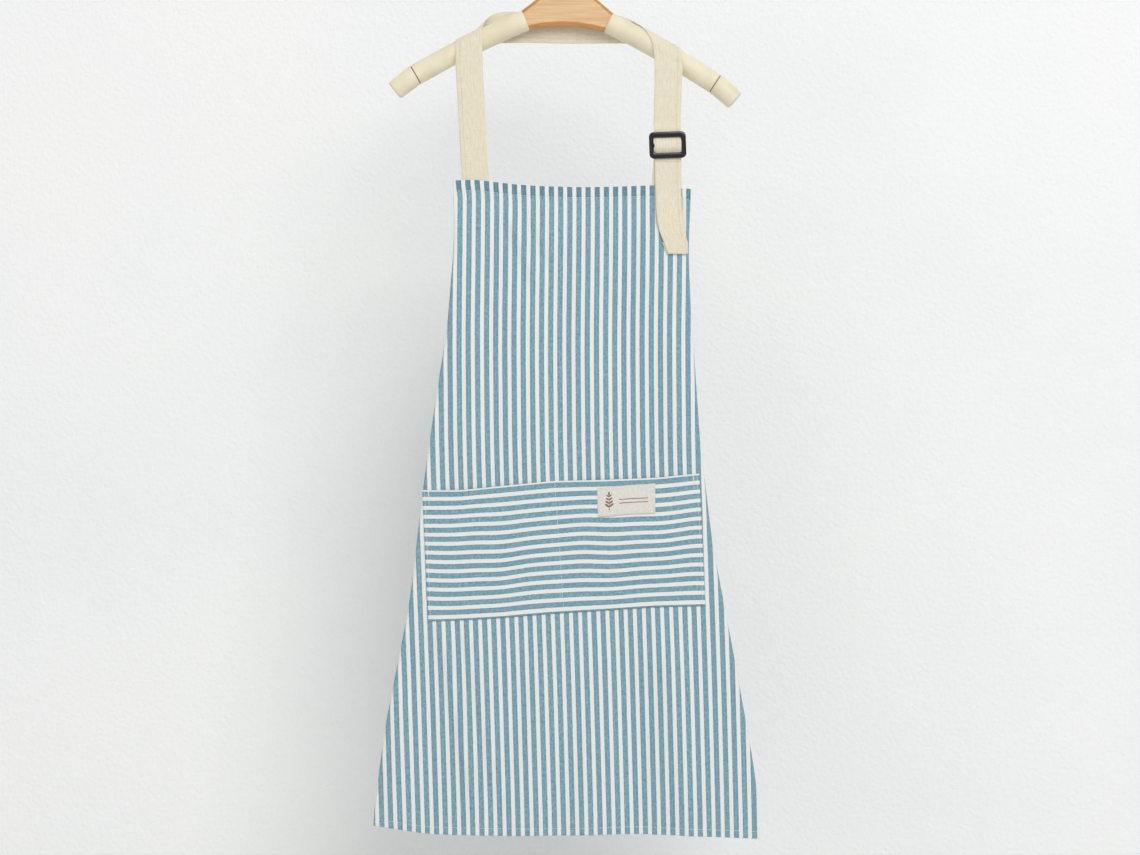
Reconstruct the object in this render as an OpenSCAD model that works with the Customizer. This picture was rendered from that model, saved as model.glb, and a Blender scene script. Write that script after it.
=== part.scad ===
// A bib apron with a neck strap, hung over a padded wooden coat hanger.
// Origin: inside top of the hook, where it sits on a rail. +X right, -Y front, +Z up.

/* [Hook] */
// Radius of the space inside the hook
hook_inner_r = 22; // [18:0.5:28]
// Diameter of the hook wire
hook_wire_d = 4; // [3:0.1:5]
// Diameter of the ball at the hook's free end
hook_ball_d = 5.6; // [5.2:0.1:7]
// Radius of the small bend between the shank and the round of the hook
hook_bend_r = 10; // [8:0.5:14]
// Angle at which the free end of the hook stops, from +X
hook_end_angle = 200; // [180:1:215]
// Straight shank between the bend and the wood
hook_neck_l = 17.5; // [10:0.5:30]
// Length of the shank inside the wood
hook_shank_l = 24; // [20:0.5:30]
// Gap between the shank and the ferrule's bore
swivel_gap = 0.05; // [0.02:0.01:0.1]

/* [Hanger] */
// Lean of the hanger on its rail, right end down
hanger_tilt = 1.7; // [-3:0.1:3]
// Thickness of the wood, front to back
wood_t = 15; // [13:0.5:18]
// Width of the bevel round the wood's faces
wood_bevel = 2.5; // [1.5:0.1:3]
// Half width of the wood where the arms begin
arm_start_x = 52.3; // [46:0.1:60]
// Drop from the top of the wood to the arms' middle line there
arm_start_drop = 51.4; // [46:0.1:58]
// Depth of the wood under its top, at the middle
wood_depth = 57; // [52:0.5:62]
// Slope of the arms where they begin
arm_slope = 24.4; // [18:0.1:30]
// Radius of the arms' gentle downward curve
arm_bend_r = 1200; // [800:10:2000]
// Diameter of the wooden arm inside the sleeve
arm_d = 14; // [11:0.5:14.5]
// Outer diameter of the padded sleeve
sleeve_d = 26.2; // [24:0.2:31]
// Length of the padded sleeve
sleeve_l = 154; // [128:1:186]
// Length of the end cap
cap_l = 33; // [28:0.5:40]
// Diameter of the end cap where it meets the sleeve
cap_d = 26.8; // [24:0.2:32]
// Diameter of the end cap at its tip
cap_tip_d = 23; // [20:0.2:26]
// Slope of the end cap
cap_slope = 40; // [32:0.5:46]

/* [Neck strap] */
// Width of the strap
strap_w = 33; // [27:0.5:40]
// Thickness of the strap
strap_t = 1.6; // [1.2:0.1:2]
// Gap between the strap and the sleeve it goes over
strap_gap = 0.6; // [0.4:0.05:1]
// Distance of each front run from the middle
strap_x = 122; // [105:1:146]
// Lower end of the strap pieces that stay on the shoulders, below the origin
shoulder_end_drop = 205; // [200:1:215]
// Middle line of the run behind the neck, below the origin
back_run_drop = 133; // [130:0.5:136]
// Half length of the straight run behind the neck
back_run_x = 86; // [80:1:88]
// Length sewn behind the top hem
sewn_l = 16; // [10:0.5:20]

/* [Buckle and tail] */
// Height of the buckle's middle above the top hem
buckle_rise = 52; // [46:0.5:62]
// Width of the slot in the buckle beyond the strap's width
buckle_slack = 1.6; // [1:0.1:3]
// Width of the buckle's side bars
buckle_side_w = 5.8; // [4:0.1:7]
// Height of the buckle's outer bars
buckle_bar_h = 7; // [5:0.1:8]
// Height of the buckle's window, both slots and the middle bar
buckle_window_h = 19.3; // [17:0.1:23]
// Thickness of the buckle frame
buckle_t = 3.2; // [2.5:0.1:4]
// Height of the middle bar
buckle_mid_h = 5; // [4:0.1:6]
// Length of the free tail under the buckle, with its folded end
tail_l = 119; // [105:1:145]
// Height of the folded, stitched end of the tail
tail_fold_h = 12; // [8:0.5:16]

/* [Apron] */
// Drop from the origin to the top hem
top_hem_drop = 333; // [325:1:345]
// Length of the apron from top hem to bottom hem
apron_l = 811; // [676:1:974]
// Visible width of the bib at the top
bib_w = 297; // [280:1:320]
// Distance below the top hem at which the sides start to widen
bib_drop = 150; // [120:1:180]
// Visible width at the waist
waist_w = 324; // [320:1:350]
// Distance of the waist below the top hem
waist_drop = 257; // [230:1:290]
// Visible width at the bottom hem
hem_w = 486; // [440:1:520]
// Full width of the cloth at waist and hem, with the sides unfolded
cloth_w = 640; // [560:1:640]
// Thickness of the cloth as a solid
cloth_t = 1.2; // [0.8:0.1:1.6]
// Gap between the front of the apron and the sides folded behind it
fold_gap = 4.8; // [3:0.1:8]
// Height of the flat hem band at the top
hem_h = 14; // [10:0.5:18]
// Height over which the cloth comes forward below the hem band
bulge_h = 53; // [40:1:70]

/* [Pocket and label] */
// Width of the pocket
pocket_w = 340; // [280:1:344]
// Height of the pocket
pocket_h = 165; // [137:1:198]
// Distance of the pocket's top edge below the top hem
pocket_drop = 368; // [350:1:400]
// Sideways place of the pocket's middle
pocket_x = -2; // [-3:0.5:3]
// Depth of the space inside the pocket
pocket_gap = 4.8; // [4.5:0.1:8]
// Width of the label
label_w = 72; // [50:1:84]
// Height of the label
label_h = 37; // [30:1:45]
// Thickness of the label
label_t = 0.6; // [0.4:0.1:1]
// Sideways place of the label's middle
label_x = 70; // [60:1:90]
// Distance of the label's middle below the pocket's top edge
label_drop = 24; // [20:0.5:60]

/* [Waist ties] */
// Width of a waist tie
tie_w = 25; // [20:0.5:30]
// Length of each tie's end below the knot
tie_tail_l = 345; // [280:1:400]
// Lean of each tie's end away from the middle
tie_lean = 5; // [3:0.5:8]
// Length of each loop of the bow
bow_loop_l = 105; // [80:1:125]
// Height of a loop of the bow at its widest
bow_loop_h = 40; // [30:1:50]
// Width of the knot
knot_w = 30; // [26:0.5:36]
// Thickness of the knot
knot_t = 11; // [8:0.5:14]

/* [Hidden] */
$fn = 96;

steel = "silver";
timber = "burlywood";
padding = "cornsilk";
webbing = "wheat";
plastic = [0.08, 0.08, 0.09];
stripe = "cadetblue";
far = 500; // longer than anything a helper block has to reach past
cut = 1; // how far a cutting block reaches past the face it cuts

// Hook: a round of radius hook_r about hook_c, joined to the shank by a small bend
hook_r = hook_inner_r + hook_wire_d / 2;
hook_c = -hook_inner_r;
bend_z = hook_c - sqrt(hook_r * hook_r + 2 * hook_r * hook_bend_r);
bend_angle = asin(hook_bend_r / (hook_r + hook_bend_r));
wood_top = bend_z - hook_neck_l;
bend_thin = 0.05; // the wire thins this much in its tight bend

// Ferrule pressed into the top of the wood, and the collar that keeps the shank in
ferrule_r = 4.5;
ferrule_l = 14;
flange_r = 6.8;
flange_t = 1.4;
collar_r = 3.8;
collar_t = 4;
collar_gap = 0.3;
bore_room = 4; // space under the end of the shank
bore_l = hook_shank_l + bore_room;

// Points down the right shoulder of the wood, from its middle and its top
shoulder_line = [[9, 0], [15, -4.6], [40, -25.5]];
wood_inset = 0.6; // the wood beside a sleeve is this much smaller than it

// Arms: an arc of radius arm_bend_r about [arm_cx, arm_cz], in the hanger's own upright frame
arm_start_z = wood_top - arm_start_drop;
arm_cx = arm_start_x - arm_bend_r * sin(arm_slope);
arm_cz = arm_start_z - arm_bend_r * cos(arm_slope);
sleeve_turn = sleeve_l / arm_bend_r * 180 / PI;
seam_angle = 90 - arm_slope - sleeve_turn;
seam_x = arm_cx + arm_bend_r * cos(seam_angle);
seam_z = arm_cz + arm_bend_r * sin(seam_angle);
stub_step = 1.5; // the stub inside a cap is this much thinner all round than the arm
stub_d = arm_d - 2 * stub_step;
stub_in = 3; // length of the stub inside the arm
arm_root = 0.6; // turn by which the arms reach into the middle of the wood
cap_end = 12; // solid end of a cap, past the stub
stub_l = cap_l - cap_end;
arm_clear = 0.2; // room round an arm's end inside the cap
cap_round = 3;

// Centre of a leaning arm's arc, and the height of its middle line at x
function arm_centre(side) = [
    side * arm_cx * cos(hanger_tilt) + arm_cz * sin(hanger_tilt),
    -side * arm_cx * sin(hanger_tilt) + arm_cz * cos(hanger_tilt)
];
function arm_z(side, x) =
    arm_centre(side)[1] + sqrt(arm_bend_r * arm_bend_r - pow(x - arm_centre(side)[0], 2));
function arm_lean(side, x) = asin((x - arm_centre(side)[0]) / arm_bend_r);

// Layers from back to front, as distances in front of the hanger's middle plane
strap_in = sleeve_d / 2 + strap_gap;
strap_out = strap_in + strap_t;
strap_mid = strap_in + strap_t / 2;
wing_in = strap_in;
panel_in = wing_in + cloth_t + fold_gap;
panel_out = panel_in + cloth_t;
hem_out = strap_out + cloth_t;
pocket_in = panel_out + pocket_gap;
pocket_out = pocket_in + cloth_t;

// The strap, the tab and the tail pass the buckle in these layers
layer_gap = 0.1;
frame_gap = 0.2;
mid_step = 0.5; // the middle bar is set back in the frame
tail_gap = 0.4; // between the apron and the tail
hem_gap = 0.5; // between the hem band and the tail
tab_mid = strap_out + strap_t / 2;
pass_mid = tab_mid + strap_t + layer_gap;
frame_in = pass_mid + strap_t / 2 + frame_gap;
mid_in = frame_in + mid_step;
mid_t = 1.6;
over_mid = mid_in + mid_t + strap_t / 2;
tail_mid = panel_out + tail_gap + strap_t / 2;

hem_z = -top_hem_drop;
buckle_z = hem_z + buckle_rise;
buckle_w = strap_w + buckle_slack + 2 * buckle_side_w;
buckle_h = buckle_window_h + 2 * buckle_bar_h;
exit_gap = 4; // from the frame to where the strap pieces meet
strap_exit = buckle_h / 2 + exit_gap;
tail_top = buckle_z - strap_exit;
tail_bottom = buckle_z - buckle_h / 2 - tail_l;
frame_corner_r = 5;
window_corner_r = 1;
bar_hold = 1; // the middle bar runs this far into each side bar
tab_slack = 1; // the tab is this much narrower than the strap
tab_slope = 4; // drop over which the tab comes back from the middle bar
tab_turn = 3; // height above the hem at which the tab goes behind it

// Half the visible width at a depth below the top hem
side_stations = [0, bib_drop, waist_drop, apron_l];
bib_ease = 2; // the bib widens this much on each side down to bib_drop
side_widths = [bib_w / 2, bib_w / 2 + bib_ease, waist_w / 2, hem_w / 2];
function half_w(d) = lookup(d, [for (i = [0 : 3]) [side_stations[i], side_widths[i]]]);
// Width of the side folded behind: a quarter ellipse down to the waist, the armhole
wing_waist = (cloth_w - waist_w) / 2;
wing_hem = (cloth_w - hem_w) / 2;
armhole_start = 10;
armhole_step = 8;

// Waist ties and their bow
tie_sewn_l = 45; // run under the knot, sewn to the sides
loop_t = 7;
loop_droop = 18;
loop_root_r = 7;
loop_step = 1; // the loops lie this much behind the knot's front
knot_over = 2; // the knot stands this much over the ties above and below
knot_corner_r = 6;

function flip(points) = [for (i = [len(points) - 1 : -1 : 0]) points[i]];

// A flat outline in X and Z, standing up, from the layer in_y forward by thick
module standing(in_y, thick) {
    translate([0, -in_y, 0])
        rotate([90, 0, 0])
            linear_extrude(thick)
                children();
}

// A strip carried along points [distance forward, z], centred on x
module strip(x, width, thick, points) {
    outline = concat(
        [for (p = points) [-p[0] - thick / 2, p[1]]],
        [for (p = flip(points)) [-p[0] + thick / 2, p[1]]]
    );
    translate([x - width / 2, 0, 0])
        rotate([90, 0, 90])
            linear_extrude(width)
                polygon(outline);
}

module leaning() {
    rotate([0, hanger_tilt, 0])
        children();
}

// Part of the arms' arc, begun a little before its start, for a turn in degrees
module arm_arc(r, turn, before = 0) {
    translate([arm_cx, 0, arm_cz])
        rotate([90, 0, 0])
            rotate([0, 0, 90 - arm_slope - turn])
                rotate_extrude(angle = turn + before, $fn = 48)
                    translate([arm_bend_r, 0])
                        circle(r, $fn = 48);
}

// Places its children on the end of the arm, with +Z out along the cap
module at_seam() {
    translate([seam_x, 0, seam_z])
        rotate([0, 90 + cap_slope, 0])
            children();
}

module hook_wire() {
    color(steel)
        leaning() {
            translate([0, 0, hook_c])
                rotate([90, 0, 0])
                    rotate([0, 0, bend_angle - 90])
                        rotate_extrude(angle = hook_end_angle + 90 - bend_angle)
                            translate([hook_r, 0])
                                circle(d = hook_wire_d, $fn = 32);
            translate([hook_r * cos(hook_end_angle), 0, hook_c + hook_r * sin(hook_end_angle)])
                sphere(d = hook_ball_d, $fn = 32);
            translate([hook_bend_r, 0, bend_z])
                rotate([90, 0, 0])
                    rotate([0, 0, 90 + bend_angle])
                        rotate_extrude(angle = 90 - bend_angle)
                            translate([hook_bend_r, 0])
                                circle(d = hook_wire_d - bend_thin, $fn = 32);
            translate([0, 0, wood_top - hook_shank_l])
                cylinder(d = hook_wire_d, h = hook_neck_l + hook_shank_l, $fn = 32);
        }
}

module hook_stop_collar() {
    color(steel)
        leaning()
            translate([0, 0, wood_top - ferrule_l - collar_gap - collar_t])
                difference() {
                    cylinder(r = collar_r, h = collar_t);
                    translate([0, 0, -cut])
                        cylinder(d = hook_wire_d, h = collar_t + 2 * cut, $fn = 32);
                }
}

module hook_ferrule() {
    color("goldenrod")
        leaning()
            difference() {
                translate([0, 0, wood_top]) {
                    cylinder(r = flange_r, h = flange_t);
                    translate([0, 0, -ferrule_l])
                        cylinder(r = ferrule_r, h = ferrule_l);
                }
                translate([0, 0, wood_top - ferrule_l - cut])
                    cylinder(r = hook_wire_d / 2 + swivel_gap, h = ferrule_l + flange_t + 2 * cut);
            }
}

// Front outline of the wood between the sleeves: a hump with sloping shoulders and a hollow underside
module wood_outline() {
    across = sleeve_d / 2 - wood_inset;
    shoulder = [arm_start_x + across * sin(arm_slope), -arm_start_drop + across * cos(arm_slope)];
    heel = [arm_start_x - across * sin(arm_slope), -arm_start_drop - across * cos(arm_slope)];
    rise = -wood_depth - heel[1];
    under_r = (heel[0] * heel[0] + rise * rise) / (2 * rise);
    difference() {
        polygon(concat(
            [[-heel[0], heel[1]], [-shoulder[0], shoulder[1]]],
            [for (p = flip(shoulder_line)) [-p[0], p[1]]], shoulder_line, [shoulder, heel]
        ));
        translate([0, -wood_depth - under_r])
            circle(under_r, $fn = 180);
    }
}

module wood_body() {
    color(timber)
        leaning()
            difference() {
                union() {
                    translate([0, 0, wood_top])
                        rotate([90, 0, 0])
                            minkowski() {
                                linear_extrude(wood_t - 2 * wood_bevel, center = true)
                                    offset(delta = -wood_bevel)
                                        wood_outline();
                                union() {
                                    cylinder(r1 = wood_bevel, r2 = 0, h = wood_bevel, $fn = 12);
                                    mirror([0, 0, 1])
                                        cylinder(r1 = wood_bevel, r2 = 0, h = wood_bevel, $fn = 12);
                                }
                            }
                    for (side = [0, 1])
                        mirror([side, 0, 0]) {
                            arm_arc(arm_d / 2, sleeve_turn, arm_root);
                            at_seam()
                                translate([0, 0, -stub_in])
                                    cylinder(d = stub_d, h = stub_l + stub_in);
                        }
                }
                translate([0, 0, wood_top - bore_l])
                    cylinder(r = ferrule_r, h = bore_l + far);
            }
}

module sleeve(side) {
    color(padding)
        leaning()
            mirror([side, 0, 0])
                difference() {
                    arm_arc(sleeve_d / 2, sleeve_turn);
                    arm_arc(arm_d / 2, sleeve_turn);
                    at_seam()
                        translate([0, 0, -stub_in])
                            cylinder(d = stub_d, h = stub_l);
                    at_seam()
                        cylinder(d = 2 * sleeve_d, h = sleeve_d);
                }
}

module left_sleeve() {
    sleeve(1);
}

module right_sleeve() {
    sleeve(0);
}

module end_cap(side) {
    edge = 0.3 * cap_round;
    color(padding)
        leaning()
            mirror([side, 0, 0])
                difference() {
                    at_seam()
                        rotate_extrude()
                            polygon([
                                [0, 0], [cap_d / 2, 0], [cap_tip_d / 2, cap_l - cap_round],
                                [cap_tip_d / 2 - edge, cap_l - edge],
                                [cap_tip_d / 2 - cap_round, cap_l], [0, cap_l]
                            ]);
                    at_seam()
                        translate([0, 0, -cut])
                            cylinder(d = stub_d, h = stub_l + cut);
                    arm_arc(arm_d / 2 + arm_clear, sleeve_turn);
                }
}

module left_end_cap() {
    end_cap(1);
}

module right_end_cap() {
    end_cap(0);
}

// Half of a many-sided ring about the origin with two long straight legs
arch_step = 10;
function arch(r) = concat(
    [[r, -far]], [for (a = [0 : arch_step : 180]) [r * cos(a), r * sin(a)]], [[-r, -far]]
);

// Lower end of the strap piece behind a sleeve, and where the strap turns in towards the middle
strap_near = strap_x - strap_w / 2;
end_drop = 3;
turn_drop = 1;
function back_end(side) = arm_z(side, side * (strap_x + strap_w / 2)) - end_drop;
function back_turn(side) = [
    [side * strap_near, arm_z(side, side * strap_near) - turn_drop],
    [side * strap_near, back_end(side)]
];

// The strap over one sleeve: an arch across the sleeve, cut to the strap's width
module strap_over(side) {
    x = side * strap_x;
    color(webbing)
        intersection() {
            translate([x, 0, arm_z(side, x)])
                rotate([0, arm_lean(side, x), 0])
                    rotate([90, 0, 90])
                        linear_extrude(4 * strap_w, center = true)
                            polygon(concat(arch(strap_out), flip(arch(strap_in))));
            union() {
                translate([x - strap_w / 2, -far, -shoulder_end_drop])
                    cube([strap_w, far, far]);
                translate([x - strap_w / 2, -cut, back_end(side)])
                    cube([strap_w, far, far]);
            }
        }
}

module strap_over_left() {
    strap_over(-1);
}

module strap_over_right() {
    strap_over(1);
}

module strap_back_run() {
    top = -back_run_drop + strap_w / 2;
    bottom = -back_run_drop - strap_w / 2;
    color(webbing)
        standing(-strap_out, strap_t)
            polygon(concat(
                [[back_run_x, top]], back_turn(1), [[back_run_x, bottom], [-back_run_x, bottom]],
                flip(back_turn(-1)), [[-back_run_x, top]]
            ));
}

module strap_left_run() {
    color(webbing)
        strip(-strap_x, strap_w, strap_t, [
            [strap_mid, -shoulder_end_drop], [strap_mid, hem_z - sewn_l]
        ]);
}

module strap_right_run() {
    color(webbing)
        strip(strap_x, strap_w, strap_t, [
            [strap_mid, -shoulder_end_drop], [pass_mid, buckle_z + strap_exit]
        ]);
}

module strap_through_buckle() {
    color(webbing)
        strip(strap_x, strap_w, strap_t, [
            [pass_mid, buckle_z + strap_exit], [pass_mid, buckle_z + buckle_window_h / 2],
            [over_mid, buckle_z + buckle_mid_h / 2], [over_mid, buckle_z - buckle_mid_h / 2],
            [pass_mid, buckle_z - buckle_window_h / 2], [pass_mid, tail_top]
        ]);
}

module rounded_plate(w, h, r) {
    hull()
        for (x = [-1, 1], y = [-1, 1])
            translate([x * (w / 2 - r), y * (h / 2 - r)])
                circle(r, $fn = 32);
}

module buckle_frame() {
    color(plastic) {
        translate([strap_x, 0, buckle_z])
            standing(frame_in, buckle_t)
                difference() {
                    rounded_plate(buckle_w, buckle_h, frame_corner_r);
                    rounded_plate(strap_w + buckle_slack, buckle_window_h, window_corner_r);
                }
        translate([strap_x, 0, buckle_z])
            standing(mid_in, mid_t)
                square([strap_w + buckle_slack + 2 * bar_hold, buckle_mid_h], center = true);
    }
}

module buckle_tab() {
    tab_w = strap_w - tab_slack;
    back = mid_in - strap_t / 2;
    color(webbing)
        strip(strap_x, tab_w, strap_t, [
            [back, buckle_z + buckle_mid_h / 2], [back, buckle_z - buckle_mid_h / 2],
            [tab_mid, buckle_z - buckle_mid_h / 2 - tab_slope], [tab_mid, tail_top],
            [strap_mid, hem_z + tab_turn], [strap_mid, hem_z - sewn_l]
        ]);
}

module tail_run() {
    color(webbing)
        strip(strap_x, strap_w, strap_t, [
            [pass_mid, tail_top], [hem_out + hem_gap + strap_t / 2, hem_z],
            [tail_mid, hem_z - hem_h - bulge_h / 2], [tail_mid, tail_bottom + tail_fold_h]
        ]);
}

module tail_end() {
    color(webbing)
        strip(strap_x, strap_w, 2 * strap_t, [
            [tail_mid + strap_t / 2, tail_bottom + tail_fold_h], [tail_mid + strap_t / 2, tail_bottom]
        ]);
}

module front_panel() {
    right = [for (d = side_stations) [half_w(d), hem_z - d]];
    left = [for (d = side_stations) [-half_w(d), hem_z - d]];
    color(stripe)
        intersection() {
            strip(0, 2 * hem_w, cloth_t, [
                [strap_out + cloth_t / 2, hem_z + cut], [strap_out + cloth_t / 2, hem_z - hem_h],
                [panel_in + cloth_t / 2, hem_z - hem_h - bulge_h],
                [panel_in + cloth_t / 2, hem_z - apron_l - cut]
            ]);
            standing(0, far)
                polygon(concat(right, flip(left)));
        }
}

// A side of the apron folded behind, with the turned strip that joins it to the front
module wing(side) {
    armhole = [
        for (a = [90 : -armhole_step : armhole_start])
            let (d = waist_drop * sin(a))
                [half_w(d) - wing_waist * (1 - cos(a)), hem_z - d]
    ];
    fold_top = -armhole[len(armhole) - 1][1] + hem_z;
    fold_stations = [fold_top, bib_drop, waist_drop, apron_l];
    turn_stations = [hem_h + bulge_h, bib_drop, waist_drop, apron_l];
    fold = [for (d = fold_stations) [half_w(d), hem_z - d]];
    turned = [for (d = turn_stations) [half_w(d), hem_z - d]];
    turned_in = [for (d = turn_stations) [half_w(d) - cloth_t, hem_z - d]];
    color(stripe)
        mirror([side, 0, 0]) {
            standing(wing_in, cloth_t)
                polygon(concat(fold, [[hem_w / 2 - wing_hem, hem_z - apron_l]], armhole));
            standing(wing_in + cloth_t, fold_gap)
                polygon(concat(turned, flip(turned_in)));
        }
}

module left_wing() {
    wing(1);
}

module right_wing() {
    wing(0);
}

// The pocket: one cloth sewn down at both sides, along the bottom and down the middle
module pocket() {
    top = hem_z - pocket_drop;
    color(stripe)
        translate([pocket_x, 0, top - pocket_h]) {
            translate([-pocket_w / 2, -pocket_out, 0])
                cube([pocket_w, cloth_t, pocket_h]);
            for (x = [-pocket_w / 2, -cloth_t / 2, pocket_w / 2 - cloth_t])
                translate([x, -pocket_in, 0])
                    cube([cloth_t, pocket_gap, pocket_h]);
            translate([-pocket_w / 2, -pocket_in, 0])
                cube([pocket_w, pocket_gap, cloth_t]);
        }
}

module label() {
    middle = hem_z - pocket_drop - label_drop;
    color("ivory")
        translate([label_x - label_w / 2, -pocket_out - label_t, middle - label_h / 2])
            cube([label_w, label_t, label_h]);
}

// A waist tie: sewn to the corner of its side, led under the knot and down
module waist_tie(side, layer) {
    in_y = wing_in - (layer + 1) * cloth_t - layer * layer_gap;
    knot_z = hem_z - waist_drop - tie_w / 2;
    color(stripe)
        standing(in_y, cloth_t) {
            translate([side < 0 ? -tie_sewn_l : 0, knot_z - tie_w / 2])
                square([tie_sewn_l, tie_w]);
            translate([0, knot_z])
                rotate(side * tie_lean)
                    translate([side < 0 ? -tie_w : 0, -tie_tail_l])
                        square([tie_w, tie_tail_l]);
        }
}

module left_waist_tie() {
    waist_tie(-1, 0);
}

module right_waist_tie() {
    waist_tie(1, 1);
}

module tie_bow() {
    bow_in = wing_in - 2 * (cloth_t + layer_gap);
    knot_z = hem_z - waist_drop - tie_w / 2;
    color(stripe) {
        translate([0, 0, knot_z]) {
            standing(bow_in - knot_t, knot_t)
                rounded_plate(knot_w, tie_w + 2 * knot_over, knot_corner_r);
            for (side = [-1, 1])
                standing(bow_in - loop_t - loop_step, loop_t)
                    mirror([side < 0 ? 1 : 0, 0])
                        rotate(-loop_droop)
                            hull() {
                                translate([knot_w / 3, 0])
                                    circle(loop_root_r, $fn = 32);
                                translate([bow_loop_l - bow_loop_h / 2, 0])
                                    circle(d = bow_loop_h, $fn = 32);
                            }
        }
    }
}

hook_wire();
hook_stop_collar();
hook_ferrule();
wood_body();
left_sleeve();
right_sleeve();
left_end_cap();
right_end_cap();
strap_over_left();
strap_back_run();
strap_over_right();
strap_left_run();
strap_right_run();
strap_through_buckle();
buckle_frame();
buckle_tab();
tail_run();
tail_end();
front_panel();
left_wing();
right_wing();
pocket();
label();
left_waist_tie();
right_waist_tie();
tie_bow();
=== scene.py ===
import math

import bpy
import numpy as np
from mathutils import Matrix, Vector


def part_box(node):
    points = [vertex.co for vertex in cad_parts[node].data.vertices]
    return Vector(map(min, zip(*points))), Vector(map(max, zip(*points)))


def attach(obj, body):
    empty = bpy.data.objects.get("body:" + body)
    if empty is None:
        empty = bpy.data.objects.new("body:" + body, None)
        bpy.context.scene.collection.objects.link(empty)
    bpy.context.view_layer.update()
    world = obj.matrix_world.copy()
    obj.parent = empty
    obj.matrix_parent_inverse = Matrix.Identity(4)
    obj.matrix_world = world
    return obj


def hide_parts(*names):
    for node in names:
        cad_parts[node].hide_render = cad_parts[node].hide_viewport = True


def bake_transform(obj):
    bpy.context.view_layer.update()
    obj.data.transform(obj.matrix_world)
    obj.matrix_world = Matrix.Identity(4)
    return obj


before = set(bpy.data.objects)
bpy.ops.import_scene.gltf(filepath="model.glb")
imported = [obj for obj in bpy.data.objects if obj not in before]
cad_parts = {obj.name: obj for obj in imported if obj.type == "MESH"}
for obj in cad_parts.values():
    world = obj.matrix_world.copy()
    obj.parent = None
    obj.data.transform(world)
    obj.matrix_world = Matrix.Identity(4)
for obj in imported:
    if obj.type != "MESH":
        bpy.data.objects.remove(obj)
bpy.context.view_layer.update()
mm = 0.001
print("frame loaded")


def eased(x):
    # 0 up to 0, 1 from 1, and 3x^2 - 2x^3 between
    x = np.clip(x, 0, 1)
    return x * x * (3 - 2 * x)


def softTable(at, places, values, soften):
    # a table read by straight lines, then averaged over soften on both sides
    shifts = np.linspace(-soften, soften, 9)
    return sum(np.interp(at + shift, places, values) for shift in shifts) / len(shifts)


def softRoute(corners, step, soften):
    # corners (n, k) joined by straight lines, walked at an even step along the first three
    # columns, then each point averaged with its neighbours under a cosine bell soften wide
    corners = np.asarray(corners, float)
    reach = np.r_[0, np.cumsum(np.linalg.norm(np.diff(corners[:, :3], axis=0), axis=1))]
    count = max(4, int(round(reach[-1] / step)) + 1)
    at = np.linspace(0, reach[-1], count)
    route = np.stack([np.interp(at, reach, column) for column in corners.T], axis=1)
    half = max(1, int(round(soften / (at[1] - at[0]))))
    head = 2 * route[0] - route[1:half + 1][::-1]
    tail = 2 * route[-1] - route[-half - 1:-1][::-1]
    padded = np.vstack([head, route, tail])
    bell = 1 + np.cos(np.linspace(-np.pi, np.pi, 2 * half + 3)[1:-1])
    bell /= bell.sum()
    return np.stack([np.convolve(column, bell, "valid") for column in padded.T], axis=1)


def lengthAlong(route):
    # distance walked along a route, from its first point
    return np.r_[0, np.cumsum(np.linalg.norm(np.diff(route, axis=0), axis=1))]


def gridNormals(points):
    # the direction square to both ways across a grid of points
    down = np.gradient(points, axis=0)
    over = np.gradient(points, axis=1)
    normals = np.cross(down, over)
    return normals / np.maximum(np.linalg.norm(normals, axis=2, keepdims=True), 1e-12)


def ringFaces(rings, around):
    # quads between neighbouring rings of a closed tube
    first = np.arange(rings - 1)[:, None] * around
    here = np.arange(around)[None, :]
    after = (here + 1) % around
    quads = [first + here, first + after, first + around + after, first + around + here]
    return np.stack(quads, axis=-1).reshape(-1, 4)


def clothShell(points, flatPlace, thickness):
    # a sheet of some thickness: each row becomes a ring that runs over the front, round one
    # edge, back along the underside and round the other edge; the first and last rows are closed
    rows, across = points.shape[:2]
    normals = gridNormals(points)
    front = points + normals * thickness / 2
    back = points - normals * thickness / 2
    endways = points[:, -1] - points[:, -2]
    startways = points[:, 0] - points[:, 1]
    endways /= np.maximum(np.linalg.norm(endways, axis=1, keepdims=True), 1e-9)
    startways /= np.maximum(np.linalg.norm(startways, axis=1, keepdims=True), 1e-9)
    endRim = (points[:, -1] + endways * thickness * 0.4)[:, None]
    startRim = (points[:, 0] + startways * thickness * 0.4)[:, None]
    ring = np.concatenate([front, endRim, back[:, ::-1], startRim], axis=1)
    flatRing = np.concatenate(
        [flatPlace, flatPlace[:, -1:], flatPlace[:, ::-1], flatPlace[:, :1]], axis=1
    )
    around = 2 * across + 2
    faces = [ringFaces(rows, around)]
    here = np.arange(across - 1)
    for start, flip in ((0, False), ((rows - 1) * around, True)):
        cap = np.stack([here, here + 1, 2 * across - 1 - here, 2 * across - here], axis=1) + start
        faces.append(cap if flip else cap[:, ::-1])
    verts = ring.reshape(-1, 3)
    last = 2 * across + 1
    rimCaps = [
        [0, 2 * across, last, last], [across - 1, across, across + 1, across + 1],
    ]
    triangles = []
    for start, flip in ((0, False), ((rows - 1) * around, True)):
        for corner in rimCaps:
            tri = np.array(corner[:3]) + start
            triangles.append(tri if flip else tri[::-1])
    return verts, np.vstack(faces), flatRing.reshape(-1, 2), np.array(triangles)


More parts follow.
